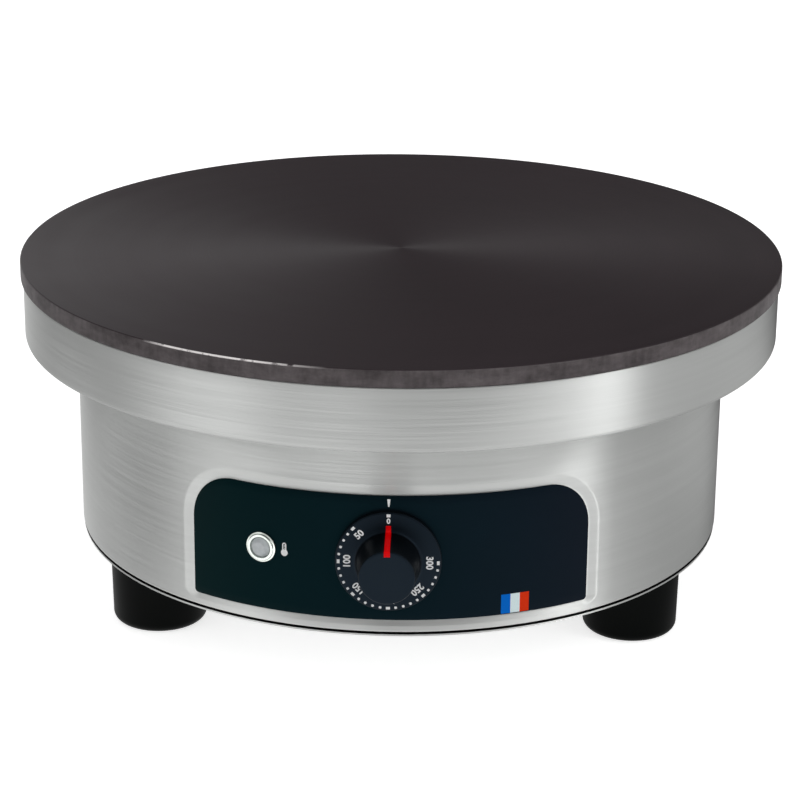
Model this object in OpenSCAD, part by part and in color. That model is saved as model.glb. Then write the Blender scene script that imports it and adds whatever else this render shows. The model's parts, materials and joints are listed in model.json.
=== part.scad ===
// Round electric crepe maker: a cast cooking plate on a stainless collar and housing,
// with a wrapped front control panel, a dial thermostat, a pilot lamp and three feet.
// Millimetres. +Z is up, the front faces -Y, and the origin is on the worktop under the
// centre of the plate. Angles round the body are measured from the front, towards +X.

/* [Cooking plate] */
// Diameter of the cast cooking plate
plate_d = 400; // [396:1:410]
// Height of the plate's visible rim
plate_edge_h = 9; // [7:0.5:11]
// Thickness of the plate inside its rim
plate_t = 14; // [12:0.5:16]
// Bevel on the plate's top and bottom edges
plate_bevel = 0.7; // [0.3:0.1:1.2]

/* [Collar and housing] */
// Outside diameter of the stainless collar
collar_d = 397.4; // [394:0.2:398]
// Height of the collar
collar_h = 32.6; // [30:0.2:38]
// Outside radius of the collar's lower edge
collar_edge_r = 3; // [2:0.5:5]
// Width of the collar's turned-in top lip
collar_lip = 10; // [6:0.5:12]
// Outside diameter of the housing
shell_d = 343; // [336:1:350]
// Height of the housing
shell_h = 103.1; // [100:0.1:120]
// Outside radius of the housing's lower edge
shell_edge_r = 1.5; // [1.2:0.1:3]
// Thickness of the stainless sheet
sheet_t = 1; // [0.8:0.1:1.2]
// Width of the turned-in flanges at the top and bottom of the housing
flange_w = 21.5; // [20:0.5:24]
// Thickness of the base plate
base_t = 1; // [0.8:0.1:1.6]
// How far the base plate's lip stays inside the housing's outline
base_inset = 0.4; // [0.2:0.1:1.2]
// Height of the base plate's middle above its lip
base_step = 1; // [0.8:0.1:2]

/* [Control panel] */
// Half of the angle that the panel wraps round the housing
panel_half_angle = 34.6; // [32:0.1:36]
// Height of the panel
panel_h = 64.8; // [62:0.1:66]
// Height of the panel's lower edge above the bottom of the housing
panel_rise = 6.5; // [6.2:0.1:12]
// Radius of the panel's upper corners
panel_top_r = 24; // [18:1:28]
// Radius of the panel's lower corners
panel_low_r = 2; // [1.5:0.5:5]
// Thickness of the panel
panel_t = 0.6; // [0.4:0.1:0.8]
// Depth of the pressed recess that holds the panel
recess_depth = 1.3; // [1.1:0.1:1.6]
// Width of the recess's sloping border
recess_border = 6.6; // [5:0.1:7]

/* [Dial and lamp] */
// Height of the dial's centre above the bottom of the housing
dial_rise = 38.3; // [36:0.1:44]
// Diameter of the dial skirt
dial_d = 51.6; // [48:0.2:54]
// Thickness of the dial skirt
dial_t = 2; // [1.6:0.1:2.6]
// Diameter of the grip where it leaves the skirt
grip_root_d = 31; // [29:0.5:33]
// Diameter of the grip's face
grip_face_d = 27.2; // [25:0.2:28.6]
// Length of the grip beyond the skirt
grip_l = 19.7; // [16:0.1:22]
// Diameter of the thermostat spindle
spindle_d = 6; // [5:0.5:7]
// Angle of the pilot lamp, from the front
lamp_angle = -21.4; // [-24:0.2:-18]
// Height of the pilot lamp above the bottom of the housing
lamp_rise = 39; // [36:0.1:46]
// Outside diameter of the lamp's bezel
lamp_d = 15.5; // [14:0.5:17]

/* [Feet] */
// Height of each foot
foot_h = 37.3; // [28:0.1:42]
// Diameter of a foot at its top
foot_top_d = 50.2; // [44:0.2:52]
// Diameter of a foot near the worktop
foot_low_d = 48.8; // [42:0.2:50]
// Rounding of a foot's lower edge
foot_round = 5; // [3:0.5:7]

/* [Heating] */
// Diameter of the heating tube
tube_d = 8.5; // [7.5:0.5:9.5]
// Distance between the outer heating loop and the circle of the plate's studs
loop_inset = 23; // [21:0.5:26]
// Distance between the outer and the inner heating loop
loop_spacing = 50; // [46:1:54]
// Depth that the tube sits in the plate
tube_sunk = 3.4; // [2.8:0.1:4]
// Length of each element's vertical leg
leg_l = 36; // [30:1:44]
// Thickness of the insulation board
insulation_t = 10; // [8:0.5:11]

/* [Cable gland] */
// Height of the gland above the bottom of the housing
gland_rise = 27; // [22:1:40]
// Diameter of the cable that the gland takes
cable_d = 9.5; // [8:0.5:10.5]

/* [Hidden] */
$fn = 96;

steel = [0.74, 0.75, 0.74];
zinc = [0.66, 0.67, 0.68];
iron = [0.24, 0.22, 0.23];
black = [0.03, 0.03, 0.035];
navy = [0.03, 0.06, 0.08];
fit_gap = 0.1;      // between a screw or a stud and its hole, all round
seat_gap = 0.2;     // between two curved pieces that seat on each other
turn_gap = 0.05;    // between the turning spindle and its bearing

// Heights, from the worktop up
base_z = foot_h;
shell_z = base_z + base_t;
shell_top = shell_z + shell_h;
collar_floor = shell_top + sheet_t;
collar_top = shell_top + collar_h;
rim_z = collar_top + seat_gap;
overall_h = rim_z + plate_edge_h;
plate_z = overall_h - plate_t;

plate_r = plate_d / 2;
collar_r = collar_d / 2;
shell_r = shell_d / 2;
flange_r = shell_r - flange_w;
lip_r = shell_r - base_inset;
recess_r = shell_r - recess_depth;
panel_r = recess_r + seat_gap + panel_t;
panel_z = shell_z + panel_rise;
panel_top = panel_z + panel_h;
panel_half = shell_r * panel_half_angle * PI / 180;   // half of the panel's width, unrolled

// Fasteners: threads are plain cylinders, as [diameter, width across a nut's flats, nut height]
m4_nut = [4, 7, 3.2];
m6_nut = [6, 10, 5];
m8_nut = [8, 13, 6.5];
m4 = m4_nut[0];
m6 = m6_nut[0];
m8 = m8_nut[0];
washer_d = 14.8;
washer_t = 1.6;
head_d = 8;                          // pan head of an M4 screw
head_h = 2.2;
screw_tail = 3;                      // length of a screw beyond its nut
cut = 1;                             // how far a cut runs past the face that it opens

stud_angles = [60, 180, 300];
foot_angles = [60, 180, 300];
screw_angles = [30, 90, 150, 210, 270, 330];
clamp_angles = [0, 120, 240];
stud_pitch_r = shell_r - 10.5;
screw_r = shell_r - 8.5;
foot_pitch_r = flange_r - m8_nut[1] / 2 / cos(30) - fit_gap;
foot_clear = 0.8;                    // between the feet and the base plate's step
base_r = foot_pitch_r + foot_top_d / 2 + foot_clear + base_t;
outer_loop_r = stud_pitch_r - loop_inset;
inner_loop_r = outer_loop_r - loop_spacing;
clamp_r = outer_loop_r - loop_spacing / 2;

// Under the plate
boss_h = 5;
boss_d = 20;
boss_z = plate_z - boss_h;
stud_grip = 11;                      // length of a stud inside the plate
stud_tail = 6;                       // length of a stud beyond its nut
spacer_d = 14;
lip_gap = 3.7;                       // between the collar's lip and the thick part of the plate
pan_t = 0.8;
pan_r = collar_r - collar_edge_r - 5.7;
board_r = pan_r - pan_t - 1;
pan_floor = collar_floor + pan_t;
pan_wall_h = 14;
plate_nut_z = shell_top - sheet_t - washer_t - m8_nut[2];
hole_end = 0.5;                      // depth of a blind hole beyond its screw or stud
clamp_grip = 7;
clamp_tail = 1;
tube_z = plate_z + tube_sunk - seat_gap - tube_d / 2;
clamp_t = 2.8;
clamp_w = 22;
clamp_past = 3;                      // length of a clamp beyond each loop
clamp_z = tube_z - tube_d / 2 - seat_gap - clamp_t;
elbow_r = 11;
leg_pitch = 34;                      // wanted distance between an element's two legs
pin_l = 12;                          // threaded terminal at the end of a leg
strap_w = 10;
strap_t = 1;
leg_end_z = tube_z - elbow_r - leg_l - pin_l;
strap_z = leg_end_z + m4_nut[2] + 1;

// Thermostat
dial_z = shell_z + dial_rise;
dial_back = shell_r + 0.5;           // plane of the skirt's back, in front of the axis
bracket_t = 1.5;
bracket_w = 50;
bracket_y = -(flange_r - 8);         // front face of the bracket
bracket_foot = 24;
stat_w = 44;
stat_h = 36;
stat_depth = 30;
nose_d = 10;
nose_l = 6;
spindle_hole_d = nose_d + 2;
spindle_back = 4;                    // length of spindle inside the thermostat
spindle_reach = 12;                  // length of spindle inside the knob
bulb_d = 6;
bulb_l = 80;
bulb_y = -50;
bulb_z = plate_z - seat_gap - bulb_d / 2;
bulb_bar = [14, 24, 2];
bulb_clamp_z = bulb_z - bulb_d / 2 - seat_gap - bulb_bar[2];
bulb_stud_y = bulb_y + 11;
bulb_grip = 6;
capillary_d = 2;

// Vent slots in the base plate
vent_r = 60;
vent_l = 24;
vent_w = 5;
vent_step = 15;

// Rear of the housing
gland_z = shell_z + gland_rise;
gland_thread_d = 20;
gland_hex = 24;
gland_back = shell_r + 0.1;          // plane of the gland's flange
block_y = 96;
block_size = [52, 26, 20];
earth_at = [62, 84];
earth_l = 14;                        // length of the earth stud above the base plate
earth_top = shell_z + earth_l;
clamp_pitch = 16;                    // between the terminal block's clamps
tab_pitch = 12;                      // between the thermostat's tabs

module hexagon(across_flats, h) {
    cylinder(d = across_flats / cos(30), h = h, $fn = 6);
}

// A plain nut, standing on z = 0
module nut(kind, slack = fit_gap) difference() {
    hexagon(kind[1], kind[2]);
    translate([0, 0, -cut]) cylinder(d = kind[0] + 2 * slack, h = kind[2] + 2 * cut);
}

// A hole of this diameter through a sheet whose lower face is at z
module sheet_hole(d, z, t) {
    translate([0, 0, z - cut]) cylinder(d = d, h = t + 2 * cut);
}

// Puts a child's +Z along the outward direction at this angle, and its +Y upwards
module on_wall(angle, z, r = 0) {
    rotate([0, 0, angle]) translate([0, -r, z]) rotate([90, 0, 0]) children();
}

module around(angles, r) {
    for (a = angles) rotate([0, 0, a]) translate([0, -r, 0]) children();
}

module ring(r_in, r_out, z, h) {
    translate([0, 0, z]) difference() {
        cylinder(r = r_out, h = h);
        translate([0, 0, -1]) cylinder(r = r_in, h = h + 2);
    }
}

// ---------------------------------------------------------------- swept round wires
function unit(v) = v / norm(v);
function lerp(a, b, t) = a + (b - a) * t;
// Catmull-Rom point between p[1] and p[2]
function spline(p, t) =
    0.5 * (2 * p[1] + (p[2] - p[0]) * t + (2 * p[0] - 5 * p[1] + 4 * p[2] - p[3]) * t * t
           + (3 * p[1] - p[0] - 3 * p[2] + p[3]) * t * t * t);
function smooth(pts, steps) =
    let (n = len(pts))
    concat([for (i = [0 : n - 2], j = [0 : steps - 1])
        spline([pts[max(i - 1, 0)], pts[i], pts[i + 1], pts[min(i + 2, n - 1)]], j / steps)],
        [pts[n - 1]]);

// A closed tube of round section along the points, with a ring that never twists
module tube_along(pts, d, steps = 5, sides = 8) {
    path = smooth(pts, steps);
    n = len(path);
    tangents = [for (i = [0 : n - 1]) unit(path[min(i + 1, n - 1)] - path[max(i - 1, 0)])];
    start = abs(tangents[0][2]) < 0.9 ? [0, 0, 1] : [1, 0, 0];
    sides_v = [for (i = 0, s = unit(cross(tangents[0], start)); i < n;
                    i = i + 1, s = i < n ? unit(s - tangents[i] * (s * tangents[i])) : s) s];
    points = [for (i = [0 : n - 1], k = [0 : sides - 1])
        let (a = 360 * k / sides, u = sides_v[i], v = cross(tangents[i], u))
        path[i] + (u * cos(a) + v * sin(a)) * d / 2];
    walls = [for (i = [0 : n - 2], k = [0 : sides - 1])
        let (a = i * sides + k, b = i * sides + (k + 1) % sides) each
        [[a, a + sides, b + sides], [a, b + sides, b]]];
    first = [[for (k = [0 : sides - 1]) k]];
    last = [[for (k = [sides - 1 : -1 : 0]) (n - 1) * sides + k]];
    polyhedron(points, concat(walls, first, last));
}

// ---------------------------------------------------------------- wrapped panel outline
function arc(cx, cz, r, from, to, n) =
    [for (i = [0 : n]) let (a = lerp(from, to, i / n)) [cx + r * cos(a), cz + r * sin(a)]];
function run(z, from, to, n) = [for (i = [1 : n - 1]) [lerp(from, to, i / n), z]];

low_share = 0.5;    // width of the recess's border below the panel, against that beside it

// The panel's outline on the unrolled wall, grown outwards by g: [distance round, height]
function panel_outline(g) =
    let (s = panel_half + g, top = panel_top + g, low = panel_z - g * low_share,
         tr = panel_top_r + g, lr = panel_low_r + g * low_share)
    concat(arc(s - tr, top - tr, tr, 0, 90, 12),
           run(top, s - tr, tr - s, 12),
           arc(tr - s, top - tr, tr, 90, 180, 12),
           arc(lr - s, low + lr, lr, 180, 270, 3),
           run(low, lr - s, s - lr, 18),
           arc(s - lr, low + lr, lr, 270, 360, 3));

function on_cylinder(p, r) =
    let (a = p[0] / shell_r * 180 / PI) [r * sin(a), -r * cos(a), p[1]];

// A block with the panel's outline. Each level is [radius, growth], from the inside out.
module wrapped_plug(levels) {
    rings = [for (l = levels) panel_outline(l[1])];
    n = len(rings[0]);
    m = len(levels);
    middle = (panel_z + panel_top) / 2;
    points = concat([for (i = [0 : m - 1], p = rings[i]) on_cylinder(p, levels[i][0])],
                    [[0, -levels[0][0], middle], [0, -levels[m - 1][0] - 8, middle]]);
    walls = [for (i = [0 : m - 2], k = [0 : n - 1])
        let (a = i * n + k, b = i * n + (k + 1) % n) each
        [[b, a, b + n], [b + n, a, a + n]]];
    inner = [for (k = [0 : n - 1]) [m * n, k, (k + 1) % n]];
    outer = [for (k = [0 : n - 1])
        [m * n + 1, (m - 1) * n + (k + 1) % n, (m - 1) * n + k]];
    polyhedron(points, concat(walls, inner, outer));
}

plug_in = 30;       // how far a plug reaches inside and outside the wall
// The sloping border of the recess, as depth below the wall and growth of the outline
function border_levels(deeper, wider) = [
    [shell_r - plug_in, 0.3 + wider],
    [recess_r - 0.2 - deeper, 0.3 + wider],
    [recess_r + 0.15 * recess_depth - deeper, 0.22 * recess_border + wider],
    [shell_r - 0.15 * recess_depth - deeper, 0.78 * recess_border + wider],
    [shell_r + 0.2 - deeper, recess_border + wider],
    [shell_r + plug_in, recess_border + 2 + wider]];

// ---------------------------------------------------------------- plate and heating
module leg_places(loop_r) {
    at = leg_at(loop_r);
    for (side = [-1, 1]) translate([side * at[0], at[1], 0]) children();
}

// Angle from the rear at which a loop ends, to a tenth of a degree
function loop_end(loop_r) =
    let (reach = norm([loop_r, elbow_r]))
    round(10 * (asin(leg_pitch / 2 / reach) + atan(elbow_r / loop_r))) / 10;
// Where a loop's right-hand leg goes down
function leg_at(loop_r) =
    let (reach = norm([loop_r, elbow_r]), a = loop_end(loop_r) - atan(elbow_r / loop_r))
    [reach * sin(a), reach * cos(a)];

module plate_profile() {
    b = plate_bevel;
    inner = collar_r - collar_lip - lip_gap;
    polygon([[0, plate_z], [inner - 4, plate_z], [inner, rim_z], [plate_r - b, rim_z],
             [plate_r, rim_z + b], [plate_r, overall_h - b], [plate_r - b, overall_h],
             [0, overall_h]]);
}

module tube_groove(loop_r) {
    rotate_extrude() translate([loop_r, tube_z]) circle(d = tube_d + 2 * seat_gap, $fn = 48);
}

module cooking_plate() color(iron) difference() {
    union() {
        rotate_extrude($fn = 180) plate_profile();
        around(stud_angles, stud_pitch_r) translate([0, 0, boss_z])
            cylinder(d = boss_d, h = boss_h + 1);
    }
    tube_groove(outer_loop_r);
    tube_groove(inner_loop_r);
    around(stud_angles, stud_pitch_r)
        sheet_hole(m8 + 2 * fit_gap, boss_z, stud_grip + hole_end - cut);
    around(clamp_angles, clamp_r)
        sheet_hole(m6 + 2 * fit_gap, plate_z, clamp_grip + hole_end - cut);
    translate([0, bulb_stud_y, 0])
        sheet_hole(m4 + 2 * fit_gap, plate_z, bulb_grip + hole_end - cut);
}

module plate_studs() color(zinc) around(stud_angles, stud_pitch_r)
    translate([0, 0, plate_nut_z - stud_tail])
        cylinder(d = m8, h = boss_z + stud_grip - plate_nut_z + stud_tail);

module plate_spacers() color(zinc) around(stud_angles, stud_pitch_r)
    ring(m8 / 2 + fit_gap, spacer_d / 2, pan_floor, boss_z - pan_floor);

module plate_washers() color(zinc) around(stud_angles, stud_pitch_r)
    ring(m8 / 2 + fit_gap, washer_d / 2, plate_nut_z + m8_nut[2], washer_t);

module plate_nuts() color(zinc) around(stud_angles, stud_pitch_r)
    translate([0, 0, plate_nut_z]) nut(m8_nut);

// A sheathed loop whose two ends turn down and carry threaded terminals
module heating_element(loop_r) {
    open = loop_end(loop_r);
    translate([0, 0, tube_z]) {
        rotate([0, 0, 90 + open]) rotate_extrude(angle = 360 - 2 * open)
            translate([loop_r, 0]) circle(d = tube_d, $fn = 32);
        for (side = [0, 1]) mirror([side, 0, 0]) rotate([0, 0, 90 - open])
            translate([loop_r, 0, -elbow_r]) rotate([0, 0, 90]) {
                rotate([90, 0, 0]) rotate_extrude(angle = 90)
                    translate([elbow_r, 0]) circle(d = tube_d, $fn = 32);
                translate([elbow_r, 0, -leg_l]) cylinder(d = tube_d, h = leg_l, $fn = 32);
                translate([elbow_r, 0, -leg_l - pin_l]) cylinder(d = m4, h = pin_l);
            }
    }
}

module outer_heating_element() color([0.45, 0.36, 0.30]) heating_element(outer_loop_r);

module inner_heating_element() color([0.45, 0.36, 0.30]) heating_element(inner_loop_r);

// Bars that press both loops into the plate
module element_clamps() color(zinc) around(clamp_angles, clamp_r)
    translate([0, 0, clamp_z]) difference() {
        reach = loop_spacing / 2 + tube_d / 2 + clamp_past;
        translate([-clamp_w / 2, -reach, 0]) cube([clamp_w, 2 * reach, clamp_t]);
        sheet_hole(m6 + 2 * fit_gap, 0, clamp_t);
    }

module clamp_studs() color(zinc) around(clamp_angles, clamp_r)
    translate([0, 0, clamp_z - m6_nut[2] - clamp_tail])
        cylinder(d = m6, h = plate_z + clamp_grip - clamp_z + m6_nut[2] + clamp_tail);

module clamp_nuts() color(zinc) around(clamp_angles, clamp_r)
    translate([0, 0, clamp_z - m6_nut[2]]) nut(m6_nut);

// Straps that join the two elements' terminals, one on each side
module link_straps() color([0.75, 0.6, 0.3]) for (side = [-1, 1]) {
    from = leg_at(inner_loop_r);
    to = leg_at(outer_loop_r);
    difference() {
        translate([side * from[0] - strap_w / 2, from[1] - strap_w / 2, strap_z])
            cube([strap_w, to[1] - from[1] + strap_w, strap_t]);
        for (at = [from, to]) translate([side * at[0], at[1], 0])
            sheet_hole(m4 + 2 * fit_gap, strap_z, strap_t);
    }
}

module link_nuts() color(zinc) {
    leg_places(outer_loop_r) translate([0, 0, strap_z - m4_nut[2]]) nut(m4_nut);
    leg_places(inner_loop_r) translate([0, 0, strap_z - m4_nut[2]]) nut(m4_nut);
}

// Where the legs, the spacers and the capillary go through the board and the pan
module through_holes(z, t, slack) {
    leg_places(outer_loop_r) sheet_hole(tube_d + slack, z, t);
    leg_places(inner_loop_r) sheet_hole(tube_d + slack, z, t);
    translate(capillary_hole) sheet_hole(3 * capillary_d + slack, z, t);
}

module insulation_board() color([0.93, 0.91, 0.85]) difference() {
    translate([0, 0, pan_floor]) cylinder(r = board_r, h = insulation_t, $fn = 180);
    through_holes(pan_floor, insulation_t, 1);
    around(stud_angles, stud_pitch_r) sheet_hole(spacer_d + 1, pan_floor, insulation_t);
}

module reflector_pan() color([0.8, 0.8, 0.8]) difference() {
    translate([0, 0, collar_floor]) difference() {
        cylinder(r = pan_r, h = pan_wall_h, $fn = 180);
        translate([0, 0, pan_t]) cylinder(r = pan_r - pan_t, h = pan_wall_h, $fn = 180);
    }
    through_holes(collar_floor, pan_t, 2);
    around(stud_angles, stud_pitch_r) sheet_hole(m8 + 2 * fit_gap, collar_floor, pan_t);
}

// ---------------------------------------------------------------- collar, housing, base
module quarter(cx, cz, r, sheet, low) {
    // a rounded corner of sheet, at the bottom (low = 1) or the top (low = 0) of a wall
    intersection() {
        translate([cx, cz]) difference() {
            circle(r = r, $fn = 48);
            circle(r = r - sheet, $fn = 48);
        }
        translate([cx, low ? cz - r - 1 : cz]) square([r + 1, r + 1]);
    }
}

module upper_collar() color(steel) difference() {
    rotate_extrude($fn = 180) {
        e = collar_edge_r;
        z = shell_top;
        translate([flange_r, z]) square([collar_r - e - flange_r, sheet_t]);
        quarter(collar_r - e, z + e, e, sheet_t, 1);
        translate([collar_r - sheet_t, z + e]) square([sheet_t, collar_h - e]);
        translate([collar_r - collar_lip, collar_top - sheet_t]) square([collar_lip, sheet_t]);
    }
    around(stud_angles, stud_pitch_r) sheet_hole(m8 + 2 * fit_gap, shell_top, sheet_t);
}

// Outline of the housing's cross section, with the wall moved in by the sheet thickness
module housing_section(inset) {
    e = shell_edge_r - inset;
    r = shell_r - inset;
    low = shell_z + inset;
    top = shell_top - inset;
    translate([0, low]) square([r - e, top - low]);
    translate([0, low + e]) square([r, top - low - 2 * e]);
    translate([r - e, low + e]) circle(r = e, $fn = 48);
    translate([r - e, top - e]) circle(r = e, $fn = 48);
}

module panel_recess(depth, levels) difference() {
    wrapped_plug(levels);
    translate([0, 0, shell_z - 5]) cylinder(r = depth, h = shell_h + 10, $fn = 180);
}

module housing_shell() color(steel) difference() {
    rotate_extrude($fn = 180) housing_section(0);
    difference() {
        rotate_extrude($fn = 180) housing_section(sheet_t);
        panel_recess(recess_r - sheet_t, border_levels(sheet_t, sheet_t * 0.6));
    }
    panel_recess(recess_r, border_levels(0, 0));
    for (z = [shell_z, shell_top - sheet_t]) sheet_hole(2 * flange_r, z, sheet_t);
    wall_hole(0, dial_z, spindle_hole_d);
    wall_hole(lamp_angle, lamp_z, lamp_hole_d);
    wall_hole(180, gland_z, gland_thread_d + 2 * fit_gap);
    around(screw_angles, screw_r) sheet_hole(m4 + 2 * fit_gap, shell_z, sheet_t);
    around(stud_angles, stud_pitch_r) sheet_hole(m8 + 2 * fit_gap, shell_top - sheet_t, sheet_t);
}

// A radial hole through the housing's wall
module wall_hole(angle, z, d) {
    reach = 10;
    on_wall(angle, z, shell_r - reach) cylinder(d = d, h = 2 * reach);
}

// A slot with round ends, lying along the radius
module vent_slot(l, w) {
    translate([0, 0, base_z - cut]) linear_extrude(base_t + 2 * cut) {
        translate([-w / 2, -l / 2]) square([w, l]);
        for (end = [-1, 1]) translate([0, end * l / 2]) circle(d = w, $fn = 32);
    }
}

// Half section of a sheet whose middle is pressed up above its lip, with a gap under the housing
module base_profile() {
    lip_z = base_z - base_step;
    polygon([[0, base_z], [base_r - base_t, base_z], [base_r - base_t, lip_z], [lip_r, lip_z],
             [lip_r, lip_z + base_t], [base_r, lip_z + base_t], [base_r, shell_z], [0, shell_z]]);
}

module base_plate() color(steel) difference() {
    rotate_extrude($fn = 180) base_profile();
    around([for (a = [0 : vent_step : 359]) a], vent_r) vent_slot(vent_l, vent_w);
    around(foot_angles, foot_pitch_r) sheet_hole(m8 + 2 * fit_gap, base_z, base_t);
    around(screw_angles, screw_r) sheet_hole(m4 + 2 * fit_gap, base_z, base_t);
    for (x = bracket_screw_x) translate([x, bracket_screw_y, 0])
        sheet_hole(m4 + 2 * fit_gap, base_z, base_t);
    translate(earth_at) sheet_hole(m6 + 2 * fit_gap, base_z, base_t);
}

// A pan-head screw, head down, with the head's seat on z = 0
module pan_screw(length) {
    edge = 0.4;
    translate([0, 0, -edge]) cylinder(d1 = head_d - 1, d2 = head_d, h = edge);
    translate([0, 0, -head_h]) cylinder(d1 = head_d * 0.58, d2 = head_d - 1, h = head_h - edge);
    cylinder(d = m4, h = length);
}

// Pan-head screws that hold the base plate to the housing's lower flange
module base_screws() color(zinc) around(screw_angles, screw_r) {
    translate([0, 0, base_z]) pan_screw(base_t + sheet_t + m4_nut[2] + screw_tail);
    translate([0, 0, shell_z + sheet_t]) nut(m4_nut, -fit_gap);
}

// ---------------------------------------------------------------- feet
head_pocket_d = 17;
head_pocket_h = 20;                  // depth of the pocket under the bolt's washer
bolt_head_h = 5.3;

module foot_profile() {
    top = foot_top_d / 2;
    low = foot_low_d / 2;
    f = foot_round;
    polygon(concat([[head_pocket_d / 2, 0], [low - f, 0]],
        [for (a = [-80 : 10 : 0]) [low - f + f * cos(a), f + f * sin(a)]],
        [[top, foot_h], [m8 / 2 + fit_gap, foot_h], [m8 / 2 + fit_gap, head_pocket_h],
         [head_pocket_d / 2, head_pocket_h]]));
}

module foot(angle) color(black) around([angle], foot_pitch_r) rotate_extrude() foot_profile();

module foot_front_left() foot(foot_angles[2]);

module foot_front_right() foot(foot_angles[0]);

module foot_rear() foot(foot_angles[1]);

module foot_bolts() color(zinc) around(foot_angles, foot_pitch_r) {
    seat = head_pocket_h - washer_t;
    translate([0, 0, seat - bolt_head_h]) hexagon(m8_nut[1], bolt_head_h);
    translate([0, 0, seat]) cylinder(d = m8, h = shell_z + m8_nut[2] + screw_tail - seat);
}

module foot_washers() color(zinc) around(foot_angles, foot_pitch_r)
    ring(m8 / 2 + fit_gap, washer_d / 2, head_pocket_h - washer_t, washer_t);

module foot_nuts() color(zinc) around(foot_angles, foot_pitch_r)
    translate([0, 0, shell_z]) nut(m8_nut);

// ---------------------------------------------------------------- panel, lamp, knob
lamp_z = shell_z + lamp_rise;
lamp_seat = panel_r + 0.05;          // plane behind the bezel
lamp_ring_w = 2.6;
lamp_ring_h = 1.6;
lamp_hole_d = lamp_d - 2 * lamp_ring_w - 0.3;
lens_face_d = 6.6;
lens_h = 3.2;
lens_dimple = 0.4;
lens_stem_l = 6;
holder_l = 20;
holder_cone_l = 4;

module control_panel() color(navy) difference() {
    intersection() {
        wrapped_plug([[shell_r - plug_in, 0], [shell_r + plug_in, 0]]);
        ring(recess_r + seat_gap, panel_r, shell_z, shell_h, $fn = 180);
    }
    wall_hole(0, dial_z, spindle_hole_d);
    wall_hole(lamp_angle, lamp_z, lamp_hole_d);
}

module lamp_bezel() color([0.85, 0.86, 0.87]) on_wall(lamp_angle, lamp_z, lamp_seat)
    rotate_extrude() {
        outer = lamp_d / 2;
        inner = outer - lamp_ring_w;
        polygon([[inner, 0], [outer, 0], [outer, lamp_ring_h * 0.5],
                 [outer - 0.3, lamp_ring_h * 0.8], [outer - 0.9, lamp_ring_h],
                 [inner + 0.8, lamp_ring_h], [inner, lamp_ring_h * 0.7]]);
    }

// A clear cone with a flat face and a dimple at its centre
module lamp_lens() color([0.9, 0.93, 0.95, 0.6]) on_wall(lamp_angle, lamp_z, lamp_seat)
    rotate_extrude() {
        r = lamp_d / 2 - lamp_ring_w - fit_gap;
        back = 0.4;
        translate([0, -lens_stem_l]) square([lamp_hole_d / 2 - 0.5, lens_stem_l + back]);
        polygon([[0, back], [r, back], [r, back + 0.5], [lens_face_d / 2, lens_h],
                 [2 * lens_dimple, lens_h], [0, lens_h - lens_dimple]]);
    }

// Barrel that holds the bulb behind the wall
module lamp_holder() color([0.9, 0.9, 0.88]) on_wall(lamp_angle, lamp_z, lamp_seat)
    rotate_extrude() {
        r = lamp_hole_d / 2 - 0.2;
        front = -lens_stem_l - 0.2;
        back = front - holder_l;
        polygon([[0, back], [r - 1.4, back], [r, back + holder_cone_l], [r, front], [0, front]]);
    }

// Push-on spring nut that grips the barrel against the back of the wall
module lamp_clip() color(zinc) on_wall(lamp_angle, lamp_z, recess_r - sheet_t - 0.5)
    translate([0, 0, -1.2])
        ring(lamp_hole_d / 2, lamp_hole_d / 2 + 3.5, 0, 1);

grip_blend = 1.8;   // fillet between the grip and the skirt
skirt_round = 1;    // rounding of the skirt's front edge

// Half section of the knob: radius, and distance out from the back of the skirt
function grip_profile(lift) =
    let (root = grip_root_d / 2 + lift, face = grip_face_d / 2 + lift,
         end = dial_t + grip_l + lift, blend = grip_blend)
    concat([for (a = [270 : -15 : 180])
                [root + blend + blend * cos(a), dial_t + lift + blend + blend * sin(a)]],
           [[face, end - 0.6], [face - 0.6, end]]);

knob_wall = 2;
hub_d = 11;

module control_knob() color(black) on_wall(0, dial_z, dial_back) difference() {
    rotate_extrude() polygon(concat(
        [[0, 0], [dial_d / 2 - 0.4, 0], [dial_d / 2, 0.4]],
        [for (a = [0 : 30 : 90]) [dial_d / 2 - skirt_round + skirt_round * cos(a),
                                  dial_t - skirt_round + skirt_round * sin(a)]],
        grip_profile(0), [[0, dial_t + grip_l]]));
    ring(hub_d / 2, grip_face_d / 2 - knob_wall, -1, dial_t + grip_l - 3);
    translate([0, 0, -1]) d_section(spindle_d / 2 + turn_gap, spindle_reach + 2);
    intersection() {
        pointer_shape(-0.6, 0.5);
        translate([-pointer_w / 2 - turn_gap, 0, 0]) cube([pointer_w + 2 * turn_gap, 40, 40]);
    }
}

// A round bar with the flat that keys a knob to its spindle
module d_section(r, h) intersection() {
    cylinder(r = r, h = h);
    translate([-r - 1, -r - 1, -1]) cube([2 * r + 2, 2 * r + 1 - r * 0.3, h + 2]);
}

pointer_w = 2.6;
pointer_reach = 18.9;                // where the pointer starts on the skirt

// The pointer's side view, bounded by the knob's outline moved by two lifts
module pointer_shape(low, high) rotate([90, 0, 90])
    translate([0, 0, -pointer_w / 2 - 1]) linear_extrude(pointer_w + 2)
        difference() {
            polygon(concat([[pointer_reach, 0], [pointer_reach, dial_t + high]],
                           [for (p = grip_profile(high)) if (p[0] < pointer_reach) p],
                           [[grip_face_d / 2 - 2.6, dial_t + grip_l + high],
                            [grip_face_d / 2 - 2.6, 0]]));
            polygon(concat([[40, -1], [40, dial_t + low]], grip_profile(low),
                           [[0, dial_t + grip_l + low], [0, -1]]));
        }

module knob_pointer() color([0.85, 0.05, 0.04]) on_wall(0, dial_z, dial_back)
    intersection() {
        pointer_shape(-0.6 + fit_gap / 2, 0.3);
        translate([-pointer_w / 2, 0, 0]) cube([pointer_w, 40, 40]);
    }

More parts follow.
